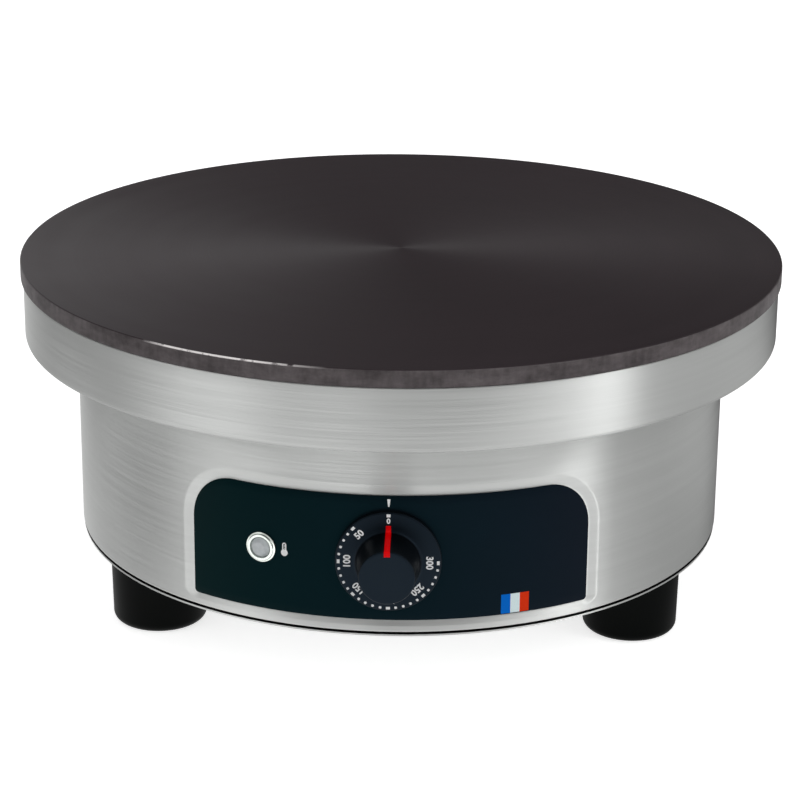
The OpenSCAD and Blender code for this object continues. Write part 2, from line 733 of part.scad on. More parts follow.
// Steel ring that closes the split hub on the spindle
module knob_spring_ring() color(zinc) on_wall(0, dial_z, dial_back)
    ring(hub_d / 2 + turn_gap, hub_d / 2 + 0.8, 2, 5);

module thermostat_spindle() color(zinc) {
    nose_front = -bracket_y + nose_l;
    on_wall(0, dial_z, nose_front - nose_l - spindle_back) cylinder(
        d = spindle_d, h = dial_back - nose_front + nose_l + spindle_back - 1);
    on_wall(0, dial_z, dial_back - 1) d_section(spindle_d / 2, spindle_reach + 1);
}

// ---------------------------------------------------------------- thermostat
bracket_screw_x = [-15, 15];
bracket_screw_y = bracket_y + bracket_t + 14;
stat_screw_x = [-14, 14];
tab = [6, 8, 0.8];                   // flat tab that a wire plugs on
tab_drop = 7.6;                      // from the dial's centre down to the tabs

module thermostat_bracket() color(zinc) difference() {
    union() {
        translate([-bracket_w / 2, bracket_y, shell_z])
            cube([bracket_w, bracket_t, dial_z + stat_h / 2 + 2 - shell_z]);
        translate([-bracket_w / 2, bracket_y, shell_z])
            cube([bracket_w, bracket_foot, bracket_t]);
        for (side = [-1, 1]) translate([side * (bracket_w / 2 - bracket_t / 2), 0, 0])
            bracket_gusset();
    }
    on_wall(0, dial_z, -bracket_y - 5) cylinder(d = nose_d + 2 * fit_gap, h = 10);
    for (x = stat_screw_x) translate([x, 0, 0]) on_wall(0, dial_z, -bracket_y - 5)
        cylinder(d = m4 + 2 * fit_gap, h = 10);
    for (x = bracket_screw_x) translate([x, bracket_screw_y, 0])
        sheet_hole(m4 + 2 * fit_gap, shell_z, bracket_t);
}

module bracket_gusset() translate([-bracket_t / 2, bracket_y, shell_z]) rotate([90, 0, 90])
    linear_extrude(bracket_t) polygon([[0, 0], [bracket_foot, 0], [0, bracket_foot * 0.7]]);

module thermostat_body() color([0.86, 0.84, 0.78]) difference() {
    union() {
        translate([-stat_w / 2, bracket_y + bracket_t, dial_z - stat_h / 2])
            cube([stat_w, stat_depth * 0.4, stat_h]);
        translate([-stat_w / 2 + 2, bracket_y + bracket_t + stat_depth * 0.4,
                   dial_z - stat_h / 2 + 2])
            cube([stat_w - 4, stat_depth * 0.6, stat_h - 4]);
        on_wall(0, dial_z, -bracket_y - bracket_t) cylinder(d = nose_d, h = nose_l + bracket_t);
        for (x = [-tab_pitch, 0, tab_pitch])
            translate([x - tab[0] / 2, bracket_y + bracket_t + stat_depth,
                       dial_z - tab_drop - tab[2] / 2]) cube(tab);
    }
    on_wall(0, dial_z, -bracket_y - spindle_back - 0.5)
        cylinder(r = spindle_d / 2 + turn_gap, h = 30);
    for (x = stat_screw_x) translate([x, 0, 0]) on_wall(0, dial_z, -bracket_y - bracket_t - 8)
        cylinder(d = m4 + 2 * fit_gap, h = 20);
}

module thermostat_screws() color(zinc) for (x = stat_screw_x) translate([x, 0, 0]) {
    on_wall(0, dial_z, -bracket_y - bracket_t - 6) cylinder(d = m4, h = bracket_t + 6);
    on_wall(0, dial_z, -bracket_y) cylinder(d1 = 7.5, d2 = 6, h = 2.4);
}

module bracket_screws() color(zinc) for (x = bracket_screw_x)
    translate([x, bracket_screw_y, 0]) {
        translate([0, 0, base_z]) pan_screw(base_t + bracket_t + m4_nut[2] + screw_tail);
        translate([0, 0, shell_z + bracket_t]) nut(m4_nut, -fit_gap);
    }

module sensor_bulb() color([0.75, 0.5, 0.35]) translate([-bulb_l / 2, bulb_y, bulb_z])
    rotate([0, 90, 0]) cylinder(d = bulb_d, h = bulb_l, $fn = 32);

// Bar, stud and nut that hold the bulb against the plate
module bulb_clamp() color(zinc) translate([0, bulb_stud_y, 0]) {
    translate([-bulb_bar[0] / 2, bulb_y - bulb_d - bulb_stud_y, bulb_clamp_z]) cube(bulb_bar);
    translate([0, 0, bulb_clamp_z - m4_nut[2] - clamp_tail])
        cylinder(d = m4, h = plate_z + bulb_grip - bulb_clamp_z + m4_nut[2] + clamp_tail);
    translate([0, 0, bulb_clamp_z - m4_nut[2]]) nut(m4_nut, -fit_gap);
}

capillary_hole = [60, -70];
capillary_route = [
    [bulb_l / 2, bulb_y, bulb_z], [bulb_l / 2 + 4, bulb_y, bulb_z],
    [52, -56, bulb_z - 3], [60, -69, bulb_z - 12], [60, -70, pan_floor],
    [58, -74, pan_floor - 12], [40, -88, pan_floor - 26], [18, -104, pan_floor - 30],
    [10, -118, pan_floor - 35], [10, -127, pan_floor - 41],
    [10, -130, dial_z + stat_h / 2 + 3], [10, -130, dial_z + stat_h / 2]];

module capillary_tube() color([0.72, 0.45, 0.3])
    tube_along(capillary_route, capillary_d, 5, 6);

// ---------------------------------------------------------------- supply and wiring
clamp_x = [-clamp_pitch, 0, clamp_pitch];

module terminal_block() color([0.94, 0.93, 0.9]) translate([0, block_y, shell_z]) difference() {
    union() {
        translate([-block_size[0] / 2, -block_size[1] / 2, 0]) cube([block_size[0], block_size[1], 6]);
        for (x = clamp_x) translate([x - 7, -block_size[1] / 2 + 2, 0])
            cube([14, block_size[1] - 4, block_size[2]]);
    }
    for (x = clamp_x) {
        translate([x, 0, 8]) cylinder(d = 6.4, h = 20);
        translate([x, block_size[1], 12]) rotate([90, 0, 0])
            cylinder(d = 4.4, h = block_size[1] * 2);
    }
}

module terminal_screws() color([0.8, 0.65, 0.3]) for (x = clamp_x)
    translate([x, block_y, shell_z + 8]) difference() {
        cylinder(d = 6.2, h = 8);
        translate([-0.5, -4, 7]) cube([1, 8, 2]);
        translate([0, block_size[1], 4]) rotate([90, 0, 0])
            cylinder(d = 4.4, h = block_size[1] * 2);
    }

module earth_stud() color([0.8, 0.65, 0.3]) translate(earth_at) {
    translate([0, 0, base_z - 3]) hexagon(m6_nut[1], 3);
    translate([0, 0, base_z]) cylinder(d = m6, h = base_t + earth_l);
    translate([0, 0, shell_z]) nut(m6_nut, -fit_gap);
}

module gland_body() color(black) on_wall(180, gland_z, gland_back) difference() {
    union() {
        translate([0, 0, -15]) cylinder(d = gland_thread_d, h = 15 + 12);
        hexagon(gland_hex, 5);
    }
    translate([0, 0, -16]) cylinder(d = gland_thread_d - 6, h = 40);
}

module gland_seal() color([0.12, 0.12, 0.12]) on_wall(180, gland_z, gland_back)
    ring(cable_d / 2, gland_thread_d / 2 - 3 - fit_gap, 1, 13);

module gland_cap() color(black) on_wall(180, gland_z, gland_back) difference() {
    union() {
        translate([0, 0, 5.2]) hexagon(gland_hex, 6.8);
        rotate_extrude() polygon([[0, 11], [gland_hex / 2 - 0.2, 11], [gland_hex / 2 - 1, 14.5],
                                  [gland_thread_d / 2 - 2.4, 18], [0, 18]]);
    }
    translate([0, 0, 4]) cylinder(d = gland_thread_d + 2 * fit_gap, h = 8.1);
    translate([0, 0, 4]) cylinder(d = gland_thread_d - 5.4, h = 10.2);
    translate([0, 0, 4]) cylinder(d = cable_d + 1.4, h = 20);
}

module gland_locknut() color(black) on_wall(180, gland_z, gland_back - 7.2) difference() {
    hexagon(gland_hex + 2, 4.6);
    translate([0, 0, -1]) cylinder(d = gland_thread_d + 2 * fit_gap, h = 8);
}

wire_d = 3.2;
wire_lead = 8;                       // straight run out of a clamp
wire_tail = 6;                       // straight run below an element's terminal
wire_bend = 14;                      // where that run begins to bend
tab_lead = 12;                       // straight run behind the thermostat's tabs
block_front = block_y - block_size[1] / 2 + 2;
stat_rear = bracket_y + bracket_t + stat_depth + tab[1];
terminal_z = shell_z + 12;
leg = leg_at(inner_loop_r);

live_route = [
    [-clamp_pitch, block_front, terminal_z], [-clamp_pitch, block_front - wire_lead, terminal_z],
    [-24, 50, terminal_z + 2], [-40, 10, terminal_z + 6], [-38, -40, terminal_z + 12],
    [-20, -78, dial_z - 12], [-tab_pitch, stat_rear + tab_lead, dial_z - tab_drop],
    [-tab_pitch, stat_rear, dial_z - tab_drop]];
neutral_route = [
    [0, block_front, terminal_z], [0, block_front - wire_lead, terminal_z],
    [-2, 66, terminal_z + 10], [-10, 62, terminal_z + 30],
    [-leg[0], leg[1] - 2, leg_end_z - wire_bend], [-leg[0], leg[1], leg_end_z - wire_tail],
    [-leg[0], leg[1], leg_end_z]];
element_route = [
    [tab_pitch, stat_rear, dial_z - tab_drop], [tab_pitch, stat_rear + tab_lead, dial_z - tab_drop],
    [30, -60, dial_z - 2], [44, -10, dial_z + 6], [36, 44, dial_z + 14],
    [leg[0], leg[1] - 2, leg_end_z - wire_bend], [leg[0], leg[1], leg_end_z - wire_tail],
    [leg[0], leg[1], leg_end_z]];
earth_route = [
    [clamp_pitch, block_front, terminal_z], [clamp_pitch, block_front - wire_lead, terminal_z],
    [28, 66, terminal_z + 6], [48, 66, earth_top + 4], [earth_at[0], earth_at[1], earth_top + 12],
    [earth_at[0], earth_at[1], earth_top + 6], [earth_at[0], earth_at[1], earth_top + 3],
    [earth_at[0], earth_at[1], earth_top]];

module live_wire() color([0.45, 0.25, 0.12]) tube_along(live_route, wire_d);

module neutral_wire() color([0.15, 0.3, 0.7]) tube_along(neutral_route, wire_d);

module element_wire() color([0.08, 0.08, 0.08]) tube_along(element_route, wire_d);

module earth_wire() color([0.4, 0.6, 0.15]) tube_along(earth_route, wire_d);

cooking_plate();
plate_studs();
plate_spacers();
plate_nuts();
plate_washers();
outer_heating_element();
inner_heating_element();
element_clamps();
clamp_studs();
clamp_nuts();
link_straps();
link_nuts();
insulation_board();
reflector_pan();
upper_collar();
housing_shell();
base_plate();
base_screws();
control_panel();
foot_front_left();
foot_front_right();
foot_rear();
foot_bolts();
foot_washers();
foot_nuts();
control_knob();
knob_pointer();
knob_spring_ring();
thermostat_spindle();
thermostat_body();
thermostat_bracket();
thermostat_screws();
bracket_screws();
sensor_bulb();
bulb_clamp();
capillary_tube();
lamp_bezel();
lamp_lens();
lamp_holder();
lamp_clip();
terminal_block();
terminal_screws();
earth_stud();
gland_body();
gland_seal();
gland_cap();
gland_locknut();
live_wire();
neutral_wire();
element_wire();
earth_wire();
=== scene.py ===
import json
import math

import bmesh
import bpy
from mathutils import Matrix, Vector


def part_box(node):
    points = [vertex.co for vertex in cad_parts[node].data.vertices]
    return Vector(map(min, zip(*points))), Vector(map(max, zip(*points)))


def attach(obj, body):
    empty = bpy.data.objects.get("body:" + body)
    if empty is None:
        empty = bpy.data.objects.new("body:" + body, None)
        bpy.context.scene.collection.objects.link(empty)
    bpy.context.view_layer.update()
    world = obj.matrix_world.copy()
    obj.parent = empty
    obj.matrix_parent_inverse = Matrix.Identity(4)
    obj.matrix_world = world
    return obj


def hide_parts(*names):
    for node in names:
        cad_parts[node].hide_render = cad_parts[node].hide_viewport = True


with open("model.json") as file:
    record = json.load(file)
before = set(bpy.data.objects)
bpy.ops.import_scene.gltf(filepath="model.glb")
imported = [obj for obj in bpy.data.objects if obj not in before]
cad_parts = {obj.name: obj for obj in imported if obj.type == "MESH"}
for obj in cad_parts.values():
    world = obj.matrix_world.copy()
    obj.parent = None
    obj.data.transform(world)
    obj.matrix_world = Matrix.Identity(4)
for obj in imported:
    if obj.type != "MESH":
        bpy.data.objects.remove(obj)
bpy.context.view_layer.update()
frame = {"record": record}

MM = 0.001

# ---------------------------------------------------------------- sizes, from the frame
plate_low, plate_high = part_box("cooking_plate")
collar_low, collar_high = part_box("upper_collar")
shell_low, shell_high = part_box("housing_shell")
base_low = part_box("base_plate")[0]
panel_low, panel_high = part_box("control_panel")
knob_low, knob_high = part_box("control_knob")
bezel_low, bezel_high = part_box("lamp_bezel")
foot_low, foot_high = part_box("foot_front_right")

plate_r, plate_top = plate_high.x, plate_high.z
collar_r = collar_high.x
shell_r = shell_high.x
flange_r = shell_r - 21.5 * MM       # how far in the folds of the drum and the collar reach
shell_fillet = 1.5 * MM
SHEET = 1.0 * MM

# the base plate's step, just outside the feet, which stand 60 degrees from the front
foot_ring = ((foot_low.x + foot_high.x) / 2) / math.sin(math.radians(60))
foot_clear = 0.8 * MM
base_step_r = foot_ring + (foot_high.x - foot_low.x) / 2 + foot_clear + SHEET

# the dial's skirt, and the grip that stands on it
dial_z = (knob_low.z + knob_high.z) / 2
dial_r = (knob_high.z - knob_low.z) / 2
dial_back = -knob_high.y
dial_t = 2.0 * MM
grip_len = -knob_low.y - dial_back
ROOT_R, FACE_R, BLEND = 15.5 * MM, 13.6 * MM, 1.8 * MM

# the panel's outline, as in the part's source
panel_half = shell_r * math.asin(panel_high.x / (shell_r - 0.5 * MM))
panel_z0, panel_z1 = panel_low.z, panel_high.z
panel_top_r, panel_low_r = 24 * MM, 2 * MM
panel_t, glue_gap = 0.6 * MM, 0.2 * MM

# the pressed recess that the panel lies in, and its border
recess_depth = 1.3 * MM
border_side, border_top, border_low = 6.6 * MM, 6.0 * MM, 3.3 * MM
recess_r = shell_r - recess_depth
panel_r = recess_r + glue_gap + panel_t


# ---------------------------------------------------------------- camera
def make_camera():
    """The photograph's camera, fitted to the plate, the collar and the housing."""
    lens_px, frame_px = 2661.1, 800
    distance, height = 1.3536, 0.3961      # from the plate's centre, and above its face
    side, pitch, roll = math.radians(1.65), math.radians(19.59), math.radians(0.49)
    back = Vector((math.sin(side), -math.cos(side), 0))
    forward = -back * math.cos(pitch) - Vector((0, 0, math.sin(pitch)))
    level = Vector((math.cos(side), math.sin(side), 0))
    up = level.cross(forward)
    right = level * math.cos(roll) + up * math.sin(roll)
    up = up * math.cos(roll) - level * math.sin(roll)
    data = bpy.data.cameras.new("camera")
    data.sensor_width = 36
    data.lens = data.sensor_width * lens_px / frame_px
    camera = bpy.data.objects.new("camera", data)
    bpy.context.scene.collection.objects.link(camera)
    turn = Matrix((right, up, -forward)).transposed().to_4x4()
    place = back * distance + Vector((0, 0, plate_top + height))
    camera.matrix_world = Matrix.Translation(place) @ turn
    bpy.context.scene.camera = camera


make_camera()

# ---------------------------------------------------------------- node helpers
WHITE = (1.0, 1.0, 1.0, 1.0)


class Shader:
    """The node tree of a material or a world, with short calls for the nodes used here."""

    def __init__(self, name="", owner=None):
        self.owner = owner or bpy.data.materials.new(name)
        self.owner.use_nodes = True
        self.tree = self.owner.node_tree
        self.bsdf = self.tree.nodes.get("Principled BSDF")

    def add(self, kind, inputs=None, **settings):
        node = self.tree.nodes.new(kind)
        for key, value in settings.items():
            setattr(node, key, value)
        for key, value in (inputs or {}).items():
            self.put(node.inputs[key], value)
        return node

    def put(self, socket, value):
        if isinstance(value, bpy.types.NodeSocket):
            self.tree.links.new(value, socket)
        else:
            socket.default_value = value

    def set(self, **values):
        """Sets inputs of the Principled shader, with _ for each space in a name."""
        for key, value in values.items():
            self.put(self.bsdf.inputs[key.replace("_", " ")], value)

    def surface(self, result, output="Material Output"):
        self.tree.links.new(result, self.tree.nodes[output].inputs[0])

    def math(self, operation, a, b=0.0):
        return self.add("ShaderNodeMath", {0: a, 1: b}, operation=operation).outputs[0]

    def product(self, a, b):
        return self.math("MULTIPLY", a, b)

    def total(self, a, b):
        return self.math("ADD", a, b)

    def weigh(self, *parts):
        """The sum of (value, weight) pairs."""
        terms = [self.product(value, weight) for value, weight in parts]
        out = terms[0]
        for term in terms[1:]:
            out = self.total(out, term)
        return out

    def length(self, x, y):
        return self.math("SQRT", self.total(self.product(x, x), self.product(y, y)))

    def azimuth(self, x, y):
        """Radians from the front, towards +X."""
        return self.math("ARCTAN2", x, self.product(y, -1.0))

    def coords(self, scale=(1, 1, 1)):
        """Object coordinates in metres, which are the frame's own, stretched by scale."""
        source = self.add("ShaderNodeTexCoord").outputs["Object"]
        return self.add("ShaderNodeMapping", {"Vector": source, "Scale": scale}).outputs[0]

    def split(self, vector):
        return self.add("ShaderNodeSeparateXYZ", {"Vector": vector}).outputs

    def noise(self, scale, detail=3.0, rough=0.5, stretch=(1, 1, 1)):
        inputs = {"Vector": self.coords(stretch), "Scale": scale, "Detail": detail,
                  "Roughness": rough}
        return self.add("ShaderNodeTexNoise", inputs).outputs["Fac"]

    def ring_noise(self, radius, scale, detail):
        """Noise that changes with the radius alone."""
        at = self.add("ShaderNodeCombineXYZ", {"X": self.product(radius, scale)}).outputs[0]
        inputs = {"Vector": at, "Scale": 1.0, "Detail": detail}
        return self.add("ShaderNodeTexNoise", inputs).outputs["Fac"]

    def span(self, value, low, high, to_low=0.0, to_high=1.0, smooth=False):
        """Carries the range from low to high over to another range, and stops at its ends."""
        kind = "SMOOTHSTEP" if smooth else "LINEAR"
        inputs = {"Value": value, "From Min": low, "From Max": high,
                  "To Min": to_low, "To Max": to_high}
        return self.add("ShaderNodeMapRange", inputs, interpolation_type=kind).outputs["Result"]

    def mix(self, factor, a, b):
        """A colour between a and b."""
        node = self.add("ShaderNodeMix", data_type="RGBA")
        for i, value in ((0, factor), (6, a), (7, b)):
            if isinstance(value, tuple):
                value = (*value, 1.0)[:4]
            self.put(node.inputs[i], value)
        return node.outputs[2]

    def bump(self, height, distance, strength=1.0):
        inputs = {"Height": height, "Distance": distance, "Strength": strength}
        return self.add("ShaderNodeBump", inputs).outputs["Normal"]

    def round_tangent(self):
        return self.add("ShaderNodeTangent", direction_type="RADIAL", axis="Z").outputs[0]

    def light(self, kind, strength):
        return self.add(kind, {"Color": WHITE, "Strength": strength}).outputs[0]

    def choose(self, factor, a, b):
        """The shader a where the factor is 0, and b where it is 1."""
        return self.add("ShaderNodeMixShader", {0: factor, 1: a, 2: b}).outputs[0]


def scaled(colour, k):
    return tuple(min(c * k, 1.0) for c in colour)


# ---------------------------------------------------------------- materials
STEEL, STEEL_ROUGHNESS = (0.62, 0.63, 0.62), 0.48
UPRIGHT = 0.25       # the turn that stands the highlights of ring-brushed metal upright


def brushed_steel(name):
    """Sheet brushed round the body: fine level scratches, and highlights that stand upright."""
    s = Shader(name)
    fine = s.noise(1.0, 2.0, 0.6, (14, 14, 2600))
    coarse = s.noise(1.0, 2.0, 0.5, (5, 5, 420))
    cloud = s.noise(9.0, 3.0, 0.5)
    tone = s.span(s.weigh((fine, 0.6), (coarse, 0.4)), 0.3, 0.7)
    rough = s.total(s.span(fine, 0.3, 0.7, STEEL_ROUGHNESS - 0.05, STEEL_ROUGHNESS + 0.05),
                    s.span(cloud, 0.35, 0.65, -0.02, 0.02))
    s.set(Base_Color=s.mix(tone, scaled(STEEL, 0.95), scaled(STEEL, 1.05)), Metallic=1.0,
          Roughness=rough, Anisotropic=1.0, Anisotropic_Rotation=UPRIGHT,
          Tangent=s.round_tangent(), Normal=s.bump(fine, 0.000012, 0.6))
    return s.owner


def darkened_steel(name, shade, dark):
    """Brushed sheet with painted shade: it goes dark where shade(shader, radius, height) nears 1.
    """
    s = Shader(owner=brushed_steel(name))
    x, y, z = s.split(s.coords())
    steel = s.bsdf.inputs["Base Color"].links[0].from_socket
    s.set(Base_Color=s.mix(shade(s, s.length(x, y), z), steel, dark))
    return s.owner


def base_gap_shade(s, radius, z):
    """Painted shade on the top of the base plate's lip and the step above it, in the gap under the
    housing.
    """
    return s.product(s.span(radius, base_step_r - 0.5 * MM, base_step_r - 0.3 * MM),
                     s.span(z, base_low.z + 0.90 * MM, base_low.z + 0.98 * MM))


def collar_fold_shade(s, radius, z):
    """Painted shade on the collar's lower fold: darker downwards, to a dark line where it meets the
    housing.
    """
    low = collar_low.z
    # painted shade: the unshaded share falls from 1 above 2.8 mm to about 0.2 at the foot of the
    # fold
    unshaded = s.product(s.span(z, low + 0.2 * MM, low + 0.6 * MM, 0.3, 1.0),
                      s.span(z, low + 0.5 * MM, low + 2.8 * MM, 0.70, 1.0))
    return s.product(s.math("SUBTRACT", 1.0, unshaded),
                     s.span(radius, collar_r - 3.0 * MM, collar_r - 2.4 * MM))


def plain_metal(name, colour, roughness, spangle, bump=0.00003):
    """Plated or rolled metal with soft clouding and a slight grain."""
    s = Shader(name)
    cloud = s.noise(spangle, 4.0, 0.6)
    grain = s.noise(900.0, 3.0, 0.6)
    s.set(Base_Color=s.mix(s.span(cloud, 0.35, 0.65), scaled(colour, 0.88), scaled(colour, 1.1)),
          Metallic=1.0, Roughness=s.span(cloud, 0.3, 0.7, roughness - 0.06, roughness + 0.08),
          Normal=s.bump(grain, bump, 0.5))
    return s.owner


def moulded(name, colour, roughness, texture=1500.0, bump=0.00003, gloss=0.5, tint=WHITE):
    """Moulded plastic or rubber with a fine spark-eroded texture and faint clouding."""
    s = Shader(name)
    cloud = s.noise(35.0, 3.0, 0.5)
    grain = s.noise(texture, 2.0, 0.5)
    s.set(Base_Color=s.mix(s.span(cloud, 0.35, 0.65), scaled(colour, 0.85), scaled(colour, 1.15)),
          Roughness=s.span(cloud, 0.3, 0.7, roughness - 0.04, roughness + 0.04),
          Normal=s.bump(grain, bump, 0.5), Specular_IOR_Level=gloss, Specular_Tint=tint)
    return s.owner


def fibre_board(name, colour):
    """Pressed mineral fibre, matt and tangled."""
    s = Shader(name)
    tangle = s.noise(260.0, 5.0, 0.7, (1, 1, 0.25))
    fleck = s.noise(60.0, 2.0, 0.5)
    s.set(Base_Color=s.mix(s.span(tangle, 0.35, 0.65), scaled(colour, 0.8), scaled(colour, 1.08)),
          Roughness=s.span(fleck, 0.3, 0.7, 0.85, 0.95), Normal=s.bump(tangle, 0.0006))
    return s.owner


def cast_plate(name):
    """Turned and seasoned cast iron: a dark, warm grey face with fine circular tool marks, and a
    painted highlight along the front left of the bevel.
    """
    s = Shader(name)
    x, y, z = s.split(s.coords())
    radius = s.length(x, y)
    rings = s.ring_noise(radius, 900.0, 3.0)
    bands = s.ring_noise(radius, 60.0, 2.0)
    cloud = s.noise(7.0, 4.0, 0.6)
    grit = s.noise(700.0, 4.0, 0.6)
    tone = s.weigh((cloud, 0.55), (bands, 0.25), (rings, 0.2))
    face = (0.0305, 0.0230, 0.0260)
    top = s.mix(s.span(tone, 0.36, 0.64), scaled(face, 0.86), scaled(face, 1.12))
    blotch = s.noise(55.0, 4.0, 0.65, (1, 1, 2.2))
    scratch = s.noise(1.0, 3.0, 0.6, (300, 300, 90))
    rim = s.mix(s.span(s.weigh((blotch, 0.7), (scratch, 0.3)), 0.36, 0.66),
                (0.056, 0.048, 0.050), (0.145, 0.128, 0.132))
    side = s.span(radius, plate_r - 0.5 * MM, plate_r - 0.2 * MM)
    # painted highlight: the bevel is coloured near white along the front left of the edge, broken
    # up by noise
    bevel = s.product(s.span(radius, plate_r - 0.8 * MM, plate_r - 0.6 * MM),
                      s.span(z, plate_top - 0.9 * MM, plate_top - 0.6 * MM))
    turn = s.azimuth(x, y)
    stretch = s.product(s.span(turn, -0.63, -0.56), s.span(turn, -0.14, -0.32))
    highlight_breakup = s.span(s.noise(150.0, 4.0, 0.7), 0.34, 0.46)
    bevel_highlight = s.product(s.product(bevel, stretch), highlight_breakup)
    face_rough, side_rough = s.span(tone, 0.36, 0.64, 0.40, 0.50), 0.46
    rough = s.weigh((face_rough, s.math("SUBTRACT", 1.0, side)), (side, side_rough))
    s.set(Base_Color=s.mix(bevel_highlight, s.mix(side, top, rim), (0.92, 0.88, 0.87)), Roughness=rough,
          Specular_IOR_Level=0.08, Anisotropic=0.75, Anisotropic_Rotation=UPRIGHT,
          Tangent=s.round_tangent(),
          Normal=s.bump(s.weigh((rings, 0.5), (grit, 0.5)), 0.00002, 0.5))
    return s.owner


def panel_film(name):
    """Dark printed film with a satin gloss, a little greener on the left and bluer on the right."""
    s = Shader(name)
    across = s.span(s.split(s.coords())[0], -0.1, 0.1)
    film = s.mix(across, (0.0003, 0.0060, 0.0055), (0.0065, 0.0060, 0.0125))
    peel = s.noise(260.0, 2.0, 0.5)
    haze = s.noise(30.0, 3.0, 0.5)
    s.set(Base_Color=s.mix(s.span(haze, 0.3, 0.7, 0.0, 0.12), film, (0.004, 0.006, 0.007)),
          Roughness=s.span(haze, 0.3, 0.7, 0.42, 0.46), Specular_IOR_Level=0.07,
          Specular_Tint=(0.05, 0.80, 1.0, 1.0), Normal=s.bump(peel, 0.000008, 0.4))
    return s.owner


def print_ink(name, colour):
    """Screen-printed ink, with a fine speckle."""
    s = Shader(name)
    speck = s.noise(2500.0, 2.0, 0.6)
    s.set(Base_Color=s.mix(s.span(speck, 0.3, 0.7), scaled(colour, 0.93), scaled(colour, 1.03)),
          Roughness=s.span(speck, 0.3, 0.7, 0.40, 0.50), Specular_IOR_Level=0.05)
    return s.owner


def clear_lens(name):
    """The pilot lamp's milky lens."""
    s = Shader(name)
    ripple = s.noise(500.0, 2.0, 0.5)
    s.set(Base_Color=s.mix(s.span(ripple, 0.3, 0.7), (0.70, 0.74, 0.76), (0.80, 0.84, 0.86)),
          Roughness=s.span(ripple, 0.3, 0.7, 0.05, 0.12), Transmission_Weight=0.35, IOR=1.49,
          Normal=s.bump(ripple, 0.00001, 0.2))
    return s.owner


# by the record's material slots
materials = {
    "cast_plate": cast_plate("seasoned_cast_iron"),
    "stainless": brushed_steel("brushed_stainless"),
    "insulation": fibre_board("fibre_board", (0.74, 0.70, 0.62)),
    "aluminised_sheet": plain_metal("aluminised_sheet", (0.66, 0.66, 0.67), 0.32, spangle=40.0),
    "zinc_sheet": plain_metal("galvanised_sheet", (0.50, 0.51, 0.53), 0.38, spangle=45.0),
    "zinc_plated": plain_metal("zinc_plate", (0.60, 0.60, 0.58), 0.30, spangle=200.0),
    "element_sheath": plain_metal("oxidised_sheath", (0.16, 0.11, 0.085), 0.55, spangle=90.0),
    "panel_film": panel_film("panel_film"),
    "foot_plastic": moulded("foot_plastic", (0.0004, 0.0010, 0.0008), 0.42, texture=1100.0,
                            gloss=0.06),
    "knob_plastic": moulded("knob_plastic", (0.0002, 0.0003, 0.0004), 0.48, texture=1700.0,
                            bump=0.00001, gloss=0.21, tint=(0.45, 0.70, 1.0, 1.0)),
    "pointer_red": moulded("pointer_red", (0.90, 0.0, 0.002), 0.35, bump=0.00002, gloss=0.1),
    "white_ceramic": moulded("white_ceramic", (0.72, 0.69, 0.62), 0.5, texture=700.0),
    "copper": plain_metal("drawn_copper", (0.62, 0.30, 0.18), 0.3, spangle=120.0),
    "lamp_chrome": plain_metal("bright_chrome", (0.62, 0.66, 0.62), 0.14, spangle=300.0,
                               bump=0.00001),
    "lamp_clear": clear_lens("lamp_lens"),
    "lamp_body": moulded("lamp_body", (0.62, 0.62, 0.58), 0.45),
    "brass": plain_metal("plain_brass", (0.66, 0.48, 0.20), 0.3, spangle=120.0),
    "gland_plastic": moulded("gland_plastic", (0.011, 0.011, 0.012), 0.42),
    "gland_rubber": moulded("gland_rubber", (0.017, 0.017, 0.017), 0.7, texture=500.0,
                            bump=0.0001),
    "wire_brown": moulded("wire_brown", (0.10, 0.035, 0.015), 0.4),
    "wire_blue": moulded("wire_blue", (0.02, 0.07, 0.30), 0.4),
    "wire_black": moulded("wire_black", (0.01, 0.01, 0.01), 0.4),
    "wire_green": moulded("wire_green", (0.10, 0.30, 0.02), 0.4),
}
# painted shade: the base plate's lip and step go near black in the gap under the housing
base_shaded_sheet = darkened_steel("base_shaded_sheet", base_gap_shade, (0.004, 0.004, 0.004))
# painted shade: the collar's lower fold darkens to a dark line where it meets the housing
collar_shaded_sheet = darkened_steel("collar_shaded_sheet", collar_fold_shade, (0.01, 0.01, 0.01))
white_ink = print_ink("white_print", (0.97, 0.98, 0.98))
pale_ink = print_ink("pale_print", (0.80, 0.95, 0.97))
blue_ink = print_ink("blue_print", (0.0005, 0.15, 0.64))
red_ink = print_ink("red_print", (0.76, 0.038, 0.006))


# ---------------------------------------------------------------- mesh helpers
def dress(name, mesh, slot, body="root", replaces=(), material=None, sharp=32):
    """An object that rides on a body, with its edges and the material of its record slot."""
    piece = bpy.data.objects.new(name, mesh)
    bpy.context.scene.collection.objects.link(piece)
    mesh.shade_smooth()
    mesh.set_sharp_from_angle(angle=math.radians(sharp))
    mesh.materials.clear()
    mesh.materials.append(material or materials[slot])
    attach(piece, body)
    if replaces:
        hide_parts(*replaces)


def add_piece(name, points, faces, slot, **options):
    """A piece made of points in the row frame. The options are those of dress()."""
    bm = bmesh.new()
    corners = [bm.verts.new(p) for p in points]
    for face in faces:
        if len(set(face)) == len(face):
            bm.faces.new([corners[i] for i in face])
    bmesh.ops.remove_doubles(bm, verts=bm.verts, dist=1e-6)
    bmesh.ops.dissolve_degenerate(bm, dist=1e-7, edges=bm.edges)
    bmesh.ops.recalc_face_normals(bm, faces=bm.faces)
    mesh = bpy.data.meshes.new(name)
    bm.to_mesh(mesh)
    bm.free()
    dress(name, mesh, slot, **options)


def spread(start, end, steps):
    """Evenly spaced values from start to end."""
    return [start + (end - start) * k / steps for k in range(steps + 1)]


